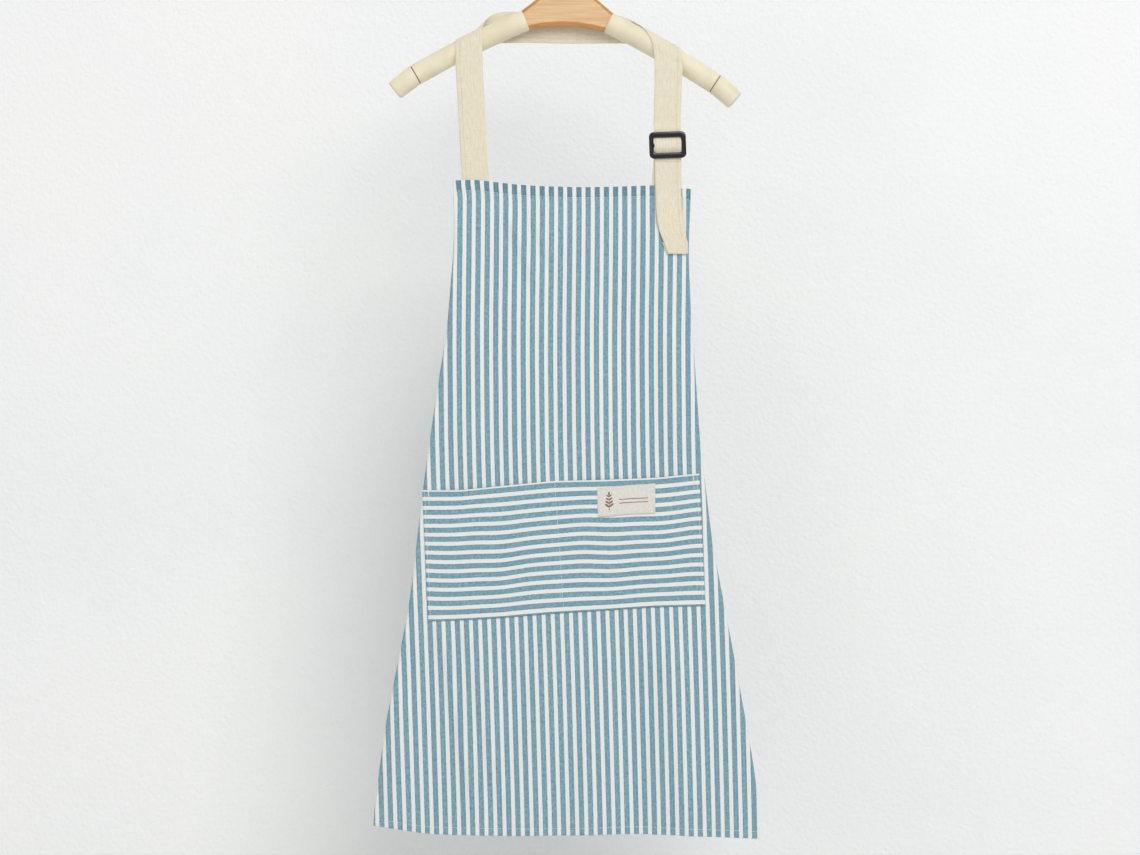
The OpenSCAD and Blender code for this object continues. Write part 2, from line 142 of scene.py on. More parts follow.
def tube(route, sideways, upward, section):
    # rings of section (n, around, 2) set square to a route: route + sideways * a + upward * b,
    # closed at each end by a point in the middle
    rings = route[:, None] + sideways[:, None] * section[..., :1] + upward[:, None] * section[..., 1:]
    count, around = rings.shape[:2]
    verts = np.vstack([rings.reshape(-1, 3), rings[0].mean(axis=0), rings[-1].mean(axis=0)])
    here = np.arange(around)
    after = (here + 1) % around
    first = np.full(around, count * around)
    lastRing = (count - 1) * around
    caps = np.vstack([
        np.stack([first, after, here], axis=1),
        np.stack([first + 1, lastRing + here, lastRing + after], axis=1),
    ])
    return verts, ringFaces(count, around), None, caps


def makePiece(name, shape, material, sharpAngle=None):
    # one mesh from arrays: corners, quads, flat cloth places and triangles; turned right side out
    verts, quads, flatPlace, triangles = shape
    if triangles is None:
        triangles = np.zeros((0, 3), int)
    half = np.vstack([quads[:, [0, 1, 2]], quads[:, [0, 2, 3]], triangles])
    a, b, c = (verts[half[:, k]] for k in range(3))
    if np.einsum("ij,ij->i", a, np.cross(b, c)).sum() < 0:
        quads = quads[:, ::-1]
        triangles = triangles[:, ::-1]
    mesh = bpy.data.meshes.new(name)
    mesh.vertices.add(len(verts))
    mesh.vertices.foreach_set("co", np.asarray(verts, np.float32).ravel())
    loops = np.r_[quads.ravel(), triangles.ravel()]
    starts = np.r_[np.arange(len(quads)) * 4, len(quads) * 4 + np.arange(len(triangles)) * 3]
    mesh.loops.add(len(loops))
    mesh.loops.foreach_set("vertex_index", loops.astype(np.int32))
    mesh.polygons.add(len(starts))
    mesh.polygons.foreach_set("loop_start", starts.astype(np.int32))
    mesh.update(calc_edges=True)
    mesh.validate()
    mesh.polygons.foreach_set("use_smooth", np.ones(len(mesh.polygons), bool))
    if flatPlace is not None:
        layer = mesh.uv_layers.new(name="flat")
        corner = np.zeros(len(mesh.loops), np.int32)
        mesh.loops.foreach_get("vertex_index", corner)
        layer.data.foreach_set("uv", flatPlace[corner].astype(np.float32).ravel())
    if sharpAngle:
        mesh.set_sharp_from_angle(angle=math.radians(sharpAngle))
    piece = bpy.data.objects.new(name, mesh)
    bpy.context.scene.collection.objects.link(piece)
    piece.data.materials.append(material)
    return piece


def ribbon(pairs, step, soften, across=9, crown=0.0):
    # a band between two edge routes: point = near + (far - near) t, with a slight crown in its middle;
    # pairs holds near x, y, z and far x, y, z in millimetres
    route = softRoute(np.asarray(pairs, float) * mm, step * mm, soften * mm)
    near = route[:, None, :3]
    far = route[:, None, 3:]
    t = np.linspace(0, 1, across)[None, :, None]
    points = near + (far - near) * t
    if crown:
        points = points + gridNormals(points) * crown * mm * (4 * t * (1 - t))
    middle = route[:, :3] / 2 + route[:, 3:] / 2
    width = np.linalg.norm(route[:, 3:] - route[:, :3], axis=1)
    flatPlace = np.stack(np.broadcast_arrays(
        (t[..., 0] - 0.5) * width[:, None], lengthAlong(middle)[:, None]
    ), axis=2)
    return points, flatPlace


def each(vector, like):
    # one direction repeated for every point of a route
    return np.broadcast_to(np.asarray(vector, float), like.shape)


def belongs(piece, body, slot, *nodes):
    # the CAD nodes a piece stands for and the body it rides on; slot is not used
    if nodes:
        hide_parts(*nodes)
    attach(piece, body)


# Length, gap and radius of each kind of stitch, in millimetres
thread = {
    "cloth": (2.6, 0.9, 0.24), "tack": (2.08, 0.72, 0.24), "webbing": (3.2, 1.5, 0.34),
    "joining": (2.4, 0.9, 0.22), "label": (2.0, 0.9, 0.2), "proud": 0.42, "edge": 0.05,
}


def stitches(name, route, normals, size, material):
    # threads laid along a route: each is a little six-sided bar, bowed up in its middle,
    # dipping into the cloth at both ends
    length, gap, radius = (value * mm for value in size)
    walked = lengthAlong(route)
    starts = np.arange(gap / 2, walked[-1] - length, length + gap)
    ends = [
        np.stack([np.interp(starts + k * length, walked, c) for c in route.T], axis=1) for k in (0, 1)
    ]
    up = np.stack([np.interp(starts, walked, c) for c in normals.T], axis=1)
    up /= np.linalg.norm(up, axis=1, keepdims=True)
    side = np.cross(ends[1] - ends[0], up)
    side /= np.linalg.norm(side, axis=1, keepdims=True)
    along = np.array([0, 0.12, 0.5, 0.88, 1])
    thick = np.array([0.35, 1, 1, 1, 0.35]) * radius
    rise = np.array([-0.9, 0.1, 0.5, 0.1, -0.9]) * radius
    turn = np.arange(6) * np.pi / 3
    spine = ends[0][:, None] + (ends[1] - ends[0])[:, None] * along[None, :, None]
    spine = spine + up[:, None] * rise[None, :, None]
    spokes = side[:, None, None] * np.cos(turn)[None, None, :, None]
    spokes = spokes + up[:, None, None] * np.sin(turn)[None, None, :, None]
    verts = spine[:, :, None] + spokes * thick[None, :, None, None]
    one = ringFaces(5, 6)
    lids = np.array([[0, 1, 2, 3], [3, 4, 5, 0], [27, 26, 25, 24], [24, 29, 28, 27]])
    one = np.vstack([one, lids])
    faces = (one[None] + np.arange(len(starts))[:, None, None] * 30).reshape(-1, 4)
    return makePiece(name, (verts.reshape(-1, 3), faces, None, None), material)


def tone(red, green, blue):
    # screen colour 0 to 255 as linear light
    screen = np.array([red, green, blue]) / 255
    linear = np.where(screen <= 0.04045, screen / 12.92, ((screen + 0.055) / 1.055) ** 2.4)
    return (*linear.tolist(), 1.0)


def addNode(tree, kind, settings=None, **inputs):
    made = tree.nodes.new("ShaderNode" + kind)
    for key, value in (settings or {}).items():
        setattr(made, key, value)
    for key, value in inputs.items():
        socket = made.inputs[int(key[2:])] if key.startswith("in") else made.inputs[key]
        if isinstance(value, bpy.types.NodeSocket):
            tree.links.new(value, socket)
        else:
            socket.default_value = value
    return made


def calc(tree, operation, a, b=0.0):
    return addNode(tree, "Math", {"operation": operation}, in0=a, in1=b).outputs[0]


def plus(tree, a, b):
    return calc(tree, "ADD", a, b)


def minus(tree, a, b):
    return calc(tree, "SUBTRACT", a, b)


def times(tree, a, b):
    return calc(tree, "MULTIPLY", a, b)


def blendTones(tree, factor, a, b, mode="MIX"):
    made = addNode(tree, "Mix", {"data_type": "RGBA", "blend_type": mode}, in0=factor, in6=a, in7=b)
    return made.outputs[2]


def shaded(tree, colour, amount):
    # a colour multiplied by the grey of an amount from 0 to 1
    grey = addNode(tree, "CombineColor", in0=amount, in1=amount, in2=amount).outputs[0]
    return blendTones(tree, 1.0, colour, grey, "MULTIPLY")


def between(tree, value, low, high, outLow=0.0, outHigh=1.0):
    settings = {"interpolation_type": "SMOOTHSTEP"}
    return addNode(
        tree, "MapRange", settings, in0=value, in1=low, in2=high, in3=outLow, in4=outHigh
    ).outputs[0]


def stretched(tree, vector, scale, turn=(0.0, 0.0, 0.0)):
    return addNode(tree, "Mapping", in0=vector, in2=turn, in3=scale).outputs[0]


def speckle(tree, vector, scale, detail=3.0, rough=0.55):
    return addNode(tree, "TexNoise", in0=vector, in2=scale, in3=detail, in4=rough).outputs[0]


def newGroup(name, inputs, outputs):
    group = bpy.data.node_groups.new(name, "ShaderNodeTree")
    for label, kind, value in inputs:
        socket = group.interface.new_socket(name=label, in_out="INPUT", socket_type="NodeSocket" + kind)
        if value is not None:
            socket.default_value = value
    for label in outputs:
        group.interface.new_socket(name=label, in_out="OUTPUT", socket_type="NodeSocketFloat")
    return group, group.nodes.new("NodeGroupInput"), group.nodes.new("NodeGroupOutput")


def useGroup(tree, group, **inputs):
    made = tree.nodes.new("ShaderNodeGroup")
    made.node_tree = group
    for key, value in inputs.items():
        if isinstance(value, bpy.types.NodeSocket):
            tree.links.new(value, made.inputs[key])
        else:
            made.inputs[key].default_value = value
    return made


# Plain weave: threads a Size wide cross over and under. Height is |sin| along the thread on top;
# Slub is uneven yarn, long and thin, in both directions; Mottle is slow cloudy unevenness.
weaveGroup, given, out = newGroup(
    "threadWeave", [("Place", "Vector", None), ("Size", "Float", 0.001)], ["Height", "Slub", "Mottle"]
)
parts = addNode(weaveGroup, "SeparateXYZ", in0=given.outputs["Place"])
turns = [
    times(weaveGroup, calc(weaveGroup, "DIVIDE", parts.outputs[k], given.outputs["Size"]), math.pi)
    for k in (0, 1)
]
waves = [calc(weaveGroup, "SINE", turn) for turn in turns]
over = calc(weaveGroup, "GREATER_THAN", times(weaveGroup, waves[0], waves[1]), 0.0)
warp = calc(weaveGroup, "ABSOLUTE", waves[0])
weft = calc(weaveGroup, "ABSOLUTE", waves[1])
height = plus(weaveGroup, times(weaveGroup, warp, over),
              times(weaveGroup, weft, minus(weaveGroup, 1.0, over)))
yarns = [speckle(weaveGroup, stretched(weaveGroup, given.outputs["Place"], scale), 1.0, 2.0)
         for scale in ((900, 60, 1), (60, 900, 1))]
slub = calc(weaveGroup, "MAXIMUM", *[between(weaveGroup, yarn, 0.52, 0.74) for yarn in yarns])
mottle = speckle(weaveGroup, stretched(weaveGroup, given.outputs["Place"], (260, 160, 1)), 1.0, 4.0, 0.65)
weaveGroup.links.new(height, out.inputs["Height"])
weaveGroup.links.new(slub, out.inputs["Slub"])
weaveGroup.links.new(mottle, out.inputs["Mottle"])

# Surface grain for foam, plastic and wood: Fine is a small pebble, Broad is slow unevenness
grainGroup, given, out = newGroup(
    "surfaceGrain",
    [("Place", "Vector", None), ("Fine scale", "Float", 900.0), ("Broad scale", "Float", 40.0)],
    ["Fine", "Broad"],
)
fine, broad = (
    addNode(grainGroup, "TexNoise", in0=given.outputs["Place"], in2=given.outputs[scale], in3=3.0)
    for scale in ("Fine scale", "Broad scale")
)
grainGroup.links.new(fine.outputs[0], out.inputs["Fine"])
grainGroup.links.new(broad.outputs[0], out.inputs["Broad"])


def startMaterial(name, **sockets):
    material = bpy.data.materials.new(name)
    material.use_nodes = True
    tree = material.node_tree
    shader = tree.nodes["Principled BSDF"]
    for key, value in sockets.items():
        shader.inputs[key.replace("_", " ")].default_value = value
    return material, tree, shader


def addBump(tree, shader, height, strength, distance):
    bump = addNode(tree, "Bump", Height=height, Strength=strength, Distance=distance)
    tree.links.new(bump.outputs[0], shader.inputs["Normal"])


stripe = {
    "pitch": 11.44 * mm, "blueShare": 0.565, "waver": 0.07, "softEdge": 0.02, "sideShade": (0.12, 0.86),
    "blueDeep": tone(106, 147, 162), "blueLight": tone(139, 180, 190), "blueGrey": tone(121, 152, 174),
    "greyShare": 0.4, "white": tone(238, 239, 236), "slubShare": 0.16, "fleckShare": 0.55,
    "mottleShare": 0.06, "thread": 0.5 * mm, "gapShade": 0.84, "hemTop": 13.6 * mm,
    "hemShade": tone(214, 222, 226), "roughness": 0.88,
}


def stripedCotton(name, shift=0.0, hems=False):
    # blue where the flat place across the cloth, in pitches, is near a whole number; each blue
    # stripe has its own slight tone, darker threads at its sides and small white flecks of yarn
    material, tree, shader = startMaterial(
        name, Roughness=stripe["roughness"], Sheen_Weight=0.12, Sheen_Roughness=0.6,
        Specular_IOR_Level=0.25
    )
    flat = addNode(tree, "UVMap", {"uv_map": "flat"}).outputs[0]
    weave = useGroup(tree, weaveGroup, Place=flat, Size=stripe["thread"])
    wander = speckle(tree, stretched(tree, flat, (40, 320, 1)), 1.0, 3.0)
    split = addNode(tree, "SeparateXYZ", in0=flat)
    across = calc(tree, "DIVIDE", split.outputs[0], stripe["pitch"])
    across = plus(tree, across, times(tree, minus(tree, wander, 0.5), stripe["waver"]))
    across = plus(tree, across, 0.5 + shift)
    fromMiddle = calc(tree, "ABSOLUTE", minus(tree, calc(tree, "FRACT", across), 0.5))
    edge = stripe["blueShare"] / 2
    soft = stripe["softEdge"]
    white = between(tree, fromMiddle, edge - soft, edge + soft)
    stripeNumber = calc(tree, "FLOOR", across)
    own = addNode(tree, "TexWhiteNoise", {"noise_dimensions": "1D"}, in1=stripeNumber).outputs[0]
    cloudy = speckle(tree, stretched(tree, flat, (420, 240, 1)), 1.0, 4.0, 0.6)
    blue = blendTones(tree, between(tree, cloudy, 0.32, 0.68), stripe["blueDeep"], stripe["blueLight"])
    blue = blendTones(tree, times(tree, own, stripe["greyShare"]), blue, stripe["blueGrey"])
    wide, dark = stripe["sideShade"]
    blue = shaded(tree, blue, between(tree, fromMiddle, edge - wide, edge - soft, 1.0, dark))
    flecks = speckle(tree, stretched(tree, flat, (1500, 900, 1)), 1.0, 1.0)
    paleYarn = calc(tree, "MAXIMUM", times(tree, weave.outputs["Slub"], stripe["slubShare"]),
                    times(tree, between(tree, flecks, 0.70, 0.78), stripe["fleckShare"]))
    blue = blendTones(tree, paleYarn, blue, stripe["white"])
    greyed = times(tree, between(tree, weave.outputs["Mottle"], 0.45, 0.75), stripe["mottleShare"])
    pale = blendTones(tree, greyed, stripe["white"], stripe["blueLight"])
    cloth = blendTones(tree, white, blue, pale)
    cloth = shaded(tree, cloth, between(tree, weave.outputs["Height"], 0.0, 0.7, stripe["gapShade"], 1.0))
    if hems:
        # painted shade: the blue of the doubled top hem band is multiplied by hemShade, as the double layer
        # lets less light through
        double = between(tree, split.outputs[1], -stripe["hemTop"] - 0.2 * mm, -stripe["hemTop"])
        double = times(tree, double, minus(tree, 1.0, white))
        cloth = blendTones(tree, double, cloth, stripe["hemShade"], "MULTIPLY")
    tree.links.new(cloth, shader.inputs["Base Color"])
    relief = plus(tree, weave.outputs["Height"], times(tree, weave.outputs["Slub"], 0.6))
    addBump(tree, shader, relief, 0.35, 0.12 * mm)
    return material


def plainCotton(name, deep, light, thread, fleckTone, fleckShare, ribs, seamAt=None):
    # seamAt is how far from the band's middle a sewn line runs, as a faint furrow in the relief whose colour
    # is painted darker as painted shade
    material, tree, shader = startMaterial(
        name, Roughness=0.9, Sheen_Weight=0.2, Sheen_Roughness=0.55, Specular_IOR_Level=0.2
    )
    flat = addNode(tree, "UVMap", {"uv_map": "flat"}).outputs[0]
    weave = useGroup(tree, weaveGroup, Place=flat, Size=thread)
    uneven = speckle(tree, stretched(tree, flat, ribs), 1.0, 3.0)
    cloth = blendTones(tree, between(tree, uneven, 0.25, 0.75), deep, light)
    cloth = blendTones(tree, times(tree, weave.outputs["Slub"], fleckShare), cloth, fleckTone)
    # painted shade: the colour is darkened to 0.88 in the low gaps between the threads
    cloth = shaded(tree, cloth, between(tree, weave.outputs["Height"], 0.0, 0.7, 0.88, 1.0))
    relief = plus(tree, weave.outputs["Height"], times(tree, weave.outputs["Slub"], 0.7))
    if seamAt:
        across = addNode(tree, "SeparateXYZ", in0=flat).outputs[0]
        aside = calc(tree, "ABSOLUTE", minus(tree, across, seamAt))
        furrow = between(tree, aside, 0.2 * mm, 1.1 * mm)
        # painted shade: the furrow's colour is darkened to 0.9 along the sewn line
        cloth = shaded(tree, cloth, plus(tree, times(tree, furrow, 0.1), 0.9))
        relief = plus(tree, relief, times(tree, furrow, 2.5))
    tree.links.new(cloth, shader.inputs["Base Color"])
    addBump(tree, shader, relief, 0.4, 0.14 * mm)
    return material


def plainSurface(name, deep, light, fineScale, broadScale, bumpStrength, bumpDistance, sockets):
    # an even surface between two tones, with pebbly relief and slightly uneven gloss
    material, tree, shader = startMaterial(name, **sockets)
    place = addNode(tree, "TexCoord").outputs["Object"]
    grain = useGroup(tree, grainGroup, Place=place)
    grain.inputs["Fine scale"].default_value = fineScale
    grain.inputs["Broad scale"].default_value = broadScale
    colour = blendTones(tree, between(tree, grain.outputs["Broad"], 0.3, 0.7), tone(*deep), tone(*light))
    tree.links.new(colour, shader.inputs["Base Color"])
    gloss = sockets["Roughness"]
    worn = between(tree, grain.outputs["Broad"], 0.35, 0.75, gloss - 0.06, gloss + 0.08)
    tree.links.new(worn, shader.inputs["Roughness"])
    addBump(tree, shader, grain.outputs["Fine"], bumpStrength, bumpDistance * mm)
    return material


def lacqueredWood(name):
    # growth lines run along X; edge faces are a deeper orange, and the front faces are painted paler as a
    # painted highlight of the lacquer's sheen
    material, tree, shader = startMaterial(name, Roughness=0.32, Coat_Weight=0.6, Coat_Roughness=0.16)
    place = addNode(tree, "TexCoord").outputs["Object"]
    lines = speckle(tree, stretched(tree, place, (14, 420, 260)), 1.0, 5.0, 0.6)
    pores = speckle(tree, stretched(tree, place, (120, 2600, 2600)), 1.0, 2.0)
    rings = addNode(tree, "TexWave", {"bands_direction": "Z"}, in0=stretched(tree, place, (6, 60, 90)),
                    in1=1.0, in2=5.0, in3=3.0, in4=1.2).outputs[1]
    edge = addNode(tree, "Attribute", {"attribute_name": "edge"}).outputs["Fac"]
    # painted highlight: the front faces, where the edge attribute is 0, get the paler tones
    face = blendTones(tree, between(tree, lines, 0.3, 0.7), tone(217, 174, 125), tone(231, 195, 150))
    face = blendTones(tree, times(tree, rings, 0.10), face, tone(196, 138, 86))
    rim = blendTones(tree, between(tree, lines, 0.35, 0.65), tone(190, 122, 50), tone(214, 150, 74))
    colour = blendTones(tree, edge, face, rim)
    colour = blendTones(tree, between(tree, pores, 0.62, 0.75, 0.0, 0.16), colour, tone(150, 96, 52))
    tree.links.new(colour, shader.inputs["Base Color"])
    addBump(tree, shader, lines, 0.15, 0.1 * mm)
    return material


apronCotton = stripedCotton("stripedCotton", 0.0, True)
pocketCotton = stripedCotton("stripedCottonPocket", 0.406)
tieCotton = stripedCotton("stripedCottonTies")
strapCotton = plainCotton("strapCotton", tone(228, 218, 193), tone(239, 230, 208), 0.8 * mm,
                          tone(198, 184, 150), 0.24, (520, 90, 1), 11.6 * mm)
labelCotton = plainCotton("labelCotton", tone(222, 218, 208), tone(233, 230, 222), 0.35 * mm,
                          tone(205, 200, 186), 0.22, (300, 300, 1))
# Even surfaces: deep and light tone, scales of the fine and the broad grain, the relief's strength
# and its depth in millimetres, and the shader's sockets
surfaces = {
    "whiteThread": ((226, 226, 220), (246, 246, 242), 4000, 300, 0.3, 0.05, {"Roughness": 0.8}),
    "creamThread": ((226, 216, 190), (244, 236, 214), 4000, 300, 0.3, 0.05, {"Roughness": 0.8}),
    "printInk": ((120, 84, 66), (146, 106, 84), 3000, 700, 0.2, 0.03, {"Roughness": 0.85}),
    "foamSkin": ((228, 217, 186), (238, 228, 203), 1500, 30, 0.25, 0.08,
                 {"Roughness": 0.55, "Specular IOR Level": 0.35, "Sheen Weight": 0.08}),
    "seamShade": ((134, 106, 64), (156, 128, 84), 1500, 60, 0.2, 0.05, {"Roughness": 0.8}),
    "buckleBlack": ((14, 14, 16), (24, 25, 28), 1400, 90, 0.12, 0.04,
                    {"Roughness": 0.17, "Specular IOR Level": 0.6}),
    "hookSteel": ((196, 198, 202), (214, 216, 220), 700, 60, 0.05, 0.02, {"Roughness": 0.2, "Metallic": 1.0}),
    "ferruleBrass": ((206, 168, 92), (226, 190, 116), 800, 60, 0.08, 0.03,
                     {"Roughness": 0.28, "Metallic": 1.0}),
}
whiteThread, creamThread, printInk, foamSkin, seamShade, buckleBlack, hookSteel, ferruleBrass = (
    plainSurface(name, *settings) for name, settings in surfaces.items()
)
hangerWood = lacqueredWood("hangerWood")
print("materials made")


# Padded hanger: measures in millimetres in its own upright frame. The arms' middle lines are arcs of
# bendRadius; ripple holds height and wavelength of the two waves in the foam
hanger = {
    "tilt": 1.7, "woodTop": -72.0, "armStartX": 52.3, "armStartDrop": 51.4, "armSlope": 24.4,
    "bendRadius": 1200.0, "reachX": (54.0, 185.0), "ripple": ((0.08, 17.0), (0.05, 6.1)),
    "sleeveRadius": 13.3, "sleeveLength": 154.0, "sleeveRound": 1.0, "endHole": 3.0,
    "capSlope": 40.0, "capTurn": 9.0, "capGap": 0.8, "capLength": 33.0, "capRadius": 13.4,
    "capTipRadius": 12.4, "capRound": 2.4, "seamRadius": 12.3, "seamInner": 4.0, "seamEnds": (-1.9, 1.4),
    "woodThickness": 15.0, "bevelHigh": 4.6, "bevelDeep": 3.6, "woodRound": 0.35,
}
tilt = math.radians(hanger["tilt"])
slope = math.radians(hanger["armSlope"])
armCentre = np.array([
    hanger["armStartX"] - hanger["bendRadius"] * math.sin(slope),
    hanger["woodTop"] - hanger["armStartDrop"] - hanger["bendRadius"] * math.cos(slope),
])


def lean(points):
    # the hanger's upright frame turned about Y at the hook: x cos + z sin, z cos - x sin
    points = np.asarray(points, float)
    x, y, z = points[..., 0], points[..., 1], points[..., 2]
    across = x * math.cos(tilt) + z * math.sin(tilt)
    return np.stack([across, y, z * math.cos(tilt) - x * math.sin(tilt)], axis=-1)


def armHeight(x):
    # height of an arm's middle line over x, and the cosine of its slope there; millimetres, leaning
    side = np.where(x < 0, -1.0, 1.0)
    centreX = side * armCentre[0] * math.cos(tilt) + armCentre[1] * math.sin(tilt)
    centreZ = -side * armCentre[0] * math.sin(tilt) + armCentre[1] * math.cos(tilt)
    rise = np.sqrt(hanger["bendRadius"] ** 2 - (x - centreX) ** 2)
    return centreZ + rise, rise / hanger["bendRadius"]


def clearOfSleeve(points, radius):
    # points closer to a sleeve's middle line than radius are pushed straight out to it
    x, y, z = (points[..., k] / mm for k in range(3))
    middle, steep = armHeight(x)
    out = (z - middle) * steep
    distance = np.sqrt(y * y + out * out)
    near, far = hanger["reachX"]
    onArm = (np.abs(x) > near) & (np.abs(x) < far)
    push = np.where(onArm, np.maximum(1, radius / np.maximum(distance, 1e-6)), 1)
    return np.stack([x, y * push, middle + out * push / steep], axis=-1) * mm


def barAlong(name, route, radii, material, around=48):
    # a round bar with the given radius at each point of a route in the XZ plane
    ahead = np.gradient(route, axis=0)
    ahead /= np.linalg.norm(ahead, axis=1, keepdims=True)
    sideways = each([0, 1, 0], ahead)
    upward = np.cross(ahead, sideways)
    turn = np.arange(around) * 2 * np.pi / around
    section = np.stack([np.cos(turn), np.sin(turn)], axis=-1)[None] * radii[:, None, None]
    return makePiece(name, tube(route * mm, sideways, upward, section * mm), material)


def roundedEnds(length, radius, endRadius, rounding, inner, count=40):
    # distance along and radius for a bar with rounded rims: a quarter circle, a straight or
    # tapering body and another quarter circle; inner is where the flat end begins
    turn = np.linspace(0, np.pi / 2, 7)
    body = np.linspace(rounding, length - rounding, count)
    taper = radius + (endRadius - radius) * (body / length)
    opening = rounding * (1 - np.cos(turn))[:-1]
    closing = length - rounding * (1 - np.sin(turn))[1:]
    along = np.r_[0, opening, body, closing, length]
    radii = np.r_[inner, radius - rounding + rounding * np.sin(turn)[:-1], taper,
                  endRadius - rounding + rounding * np.cos(turn)[1:], inner]
    return along + np.linspace(0, 0.02, len(along)), radii


for side, sideName in ((-1, "left"), (1, "right")):
    along, radii = roundedEnds(hanger["sleeveLength"], hanger["sleeveRadius"], hanger["sleeveRadius"],
                               hanger["sleeveRound"], hanger["endHole"])
    (high, long), (lowHigh, short) = hanger["ripple"]
    ripple = high * np.sin(along / long + side) + lowHigh * np.sin(along / short)
    radii = radii + np.where(radii > hanger["sleeveRadius"] - 0.8, ripple, 0)
    angle = slope + along / hanger["bendRadius"]
    route = np.stack([
        side * (armCentre[0] + hanger["bendRadius"] * np.sin(angle)), 0 * angle,
        armCentre[1] + hanger["bendRadius"] * np.cos(angle),
    ], axis=1)
    sleeve = barAlong(sideName + "FoamSleeve", lean(route), radii, foamSkin)
    capAlong, capRadii = roundedEnds(hanger["capLength"], hanger["capRadius"], hanger["capTipRadius"],
                                     hanger["capRound"], hanger["endHole"], 24)
    capTurn = math.radians(hanger["capSlope"]) - angle[-1]
    bend = angle[-1] + capTurn * eased(capAlong / hanger["capTurn"])
    stepLong = np.r_[0, np.diff(capAlong)]
    outward = np.array([side * math.cos(angle[-1]), 0, -math.sin(angle[-1])])
    start = route[-1] + outward * hanger["capGap"]
    route = start + np.stack([side * np.cumsum(stepLong * np.cos(bend)), 0 * bend,
                              -np.cumsum(stepLong * np.sin(bend))], axis=1)
    cap = barAlong(sideName + "EndCap", lean(route), capRadii, foamSkin)
    inner, outer = hanger["seamEnds"]
    ends = np.array([inner - 0.1, inner + 0.1, outer - 0.1, outer + 0.1])
    seamRing = start + outward * hanger["capGap"] * ends[:, None]
    seamRadii = np.array([hanger[name] for name in ("seamInner", "seamRadius", "seamRadius", "seamInner")])
    seam = barAlong(sideName + "CapSeam", lean(seamRing), seamRadii, seamShade)
    belongs(sleeve, "hanger", "sleeve_foam", sideName + "_sleeve")
    belongs(cap, "hanger", "sleeve_foam", sideName + "_end_cap")
    belongs(seam, "hanger", "sleeve_foam")

# The wooden middle: sections ruled from an underside route to a top route, with cut corners.
# Half outlines from the middle outwards, across and down from the top; the other half mirrors them
wood = {
    "top": ((10, 0), (15, -4.8), (40, -25.8), (57.6, -39.9)),
    "under": ((0, -57), (12, -57.2), (30, -59.4), (47.2, -62.8)),
    "stations": 121, "step": 0.5, "soften": 2.5, "sharp": 12,
}


def mirrored(half):
    # a half outline read from the left end to the right one
    left = [(-x, 0, z) for x, z in half if x > 0]
    return left[::-1] + [(x, 0, z) for x, z in half]


def evenly(line):
    # a softened line, measured down from the top of the wood, read at evenly spaced places
    route = softRoute(line, wood["step"], wood["soften"]) + [0, 0, hanger["woodTop"]]
    at = np.linspace(0, len(route) - 1, wood["stations"])
    return np.stack([np.interp(at, np.arange(len(route)), c) for c in route.T], axis=1)


top = evenly(mirrored(wood["top"]))
under = evenly(mirrored(wood["under"]))
tall = np.linalg.norm(top - under, axis=1)
half = hanger["woodThickness"] / 2
deep = half - hanger["bevelDeep"]
high = hanger["bevelHigh"]
# corners of the section: across, whether it hangs on the top route, and how far above its route
corners = [(-half, 0, high), (-half, 1, -high), (-deep, 1, 0), (deep, 1, 0),
           (half, 1, -high), (half, 0, high), (deep, 0, 0), (-deep, 0, 0)]
section = []
edgeMask = []
for index, (y, far, shift) in enumerate(corners):
    here = np.stack([0 * tall + y, far * tall + shift], axis=1)
    for other in (corners[index - 1], corners[(index + 1) % len(corners)]):
        step = np.stack([0 * tall + other[0], other[1] * tall + other[2]], axis=1) - here
        section.append(here + step / np.linalg.norm(step, axis=1, keepdims=True) * hanger["woodRound"])
        edgeMask.append(0.0 if abs(y) == half and abs(other[0]) == half else 1.0)
section = np.stack(section, axis=1) * mm
upward = lean((top - under) / tall[:, None])
woodShape = tube(lean(under) * mm, each([0, 1, 0], under), upward, section)
woodBody = makePiece("hangerMiddle", woodShape, hangerWood, wood["sharp"])
# edge is 0 on the front and back faces, which the wood's material paints paler as a painted highlight
edge = woodBody.data.attributes.new("edge", "FLOAT", "POINT")
edge.data.foreach_set("value", np.r_[np.tile(edgeMask, wood["stations"]), 1, 1].astype(np.float32))
belongs(woodBody, "hanger", "hanger_wood", "wood_body")

hookMaterials = {"hook_wire": hookSteel, "hook_stop_collar": hookSteel, "hook_ferrule": ferruleBrass}
for node, material in hookMaterials.items():
    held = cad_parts[node]
    held.data.materials.clear()
    held.data.materials.append(material)
print("hanger made")


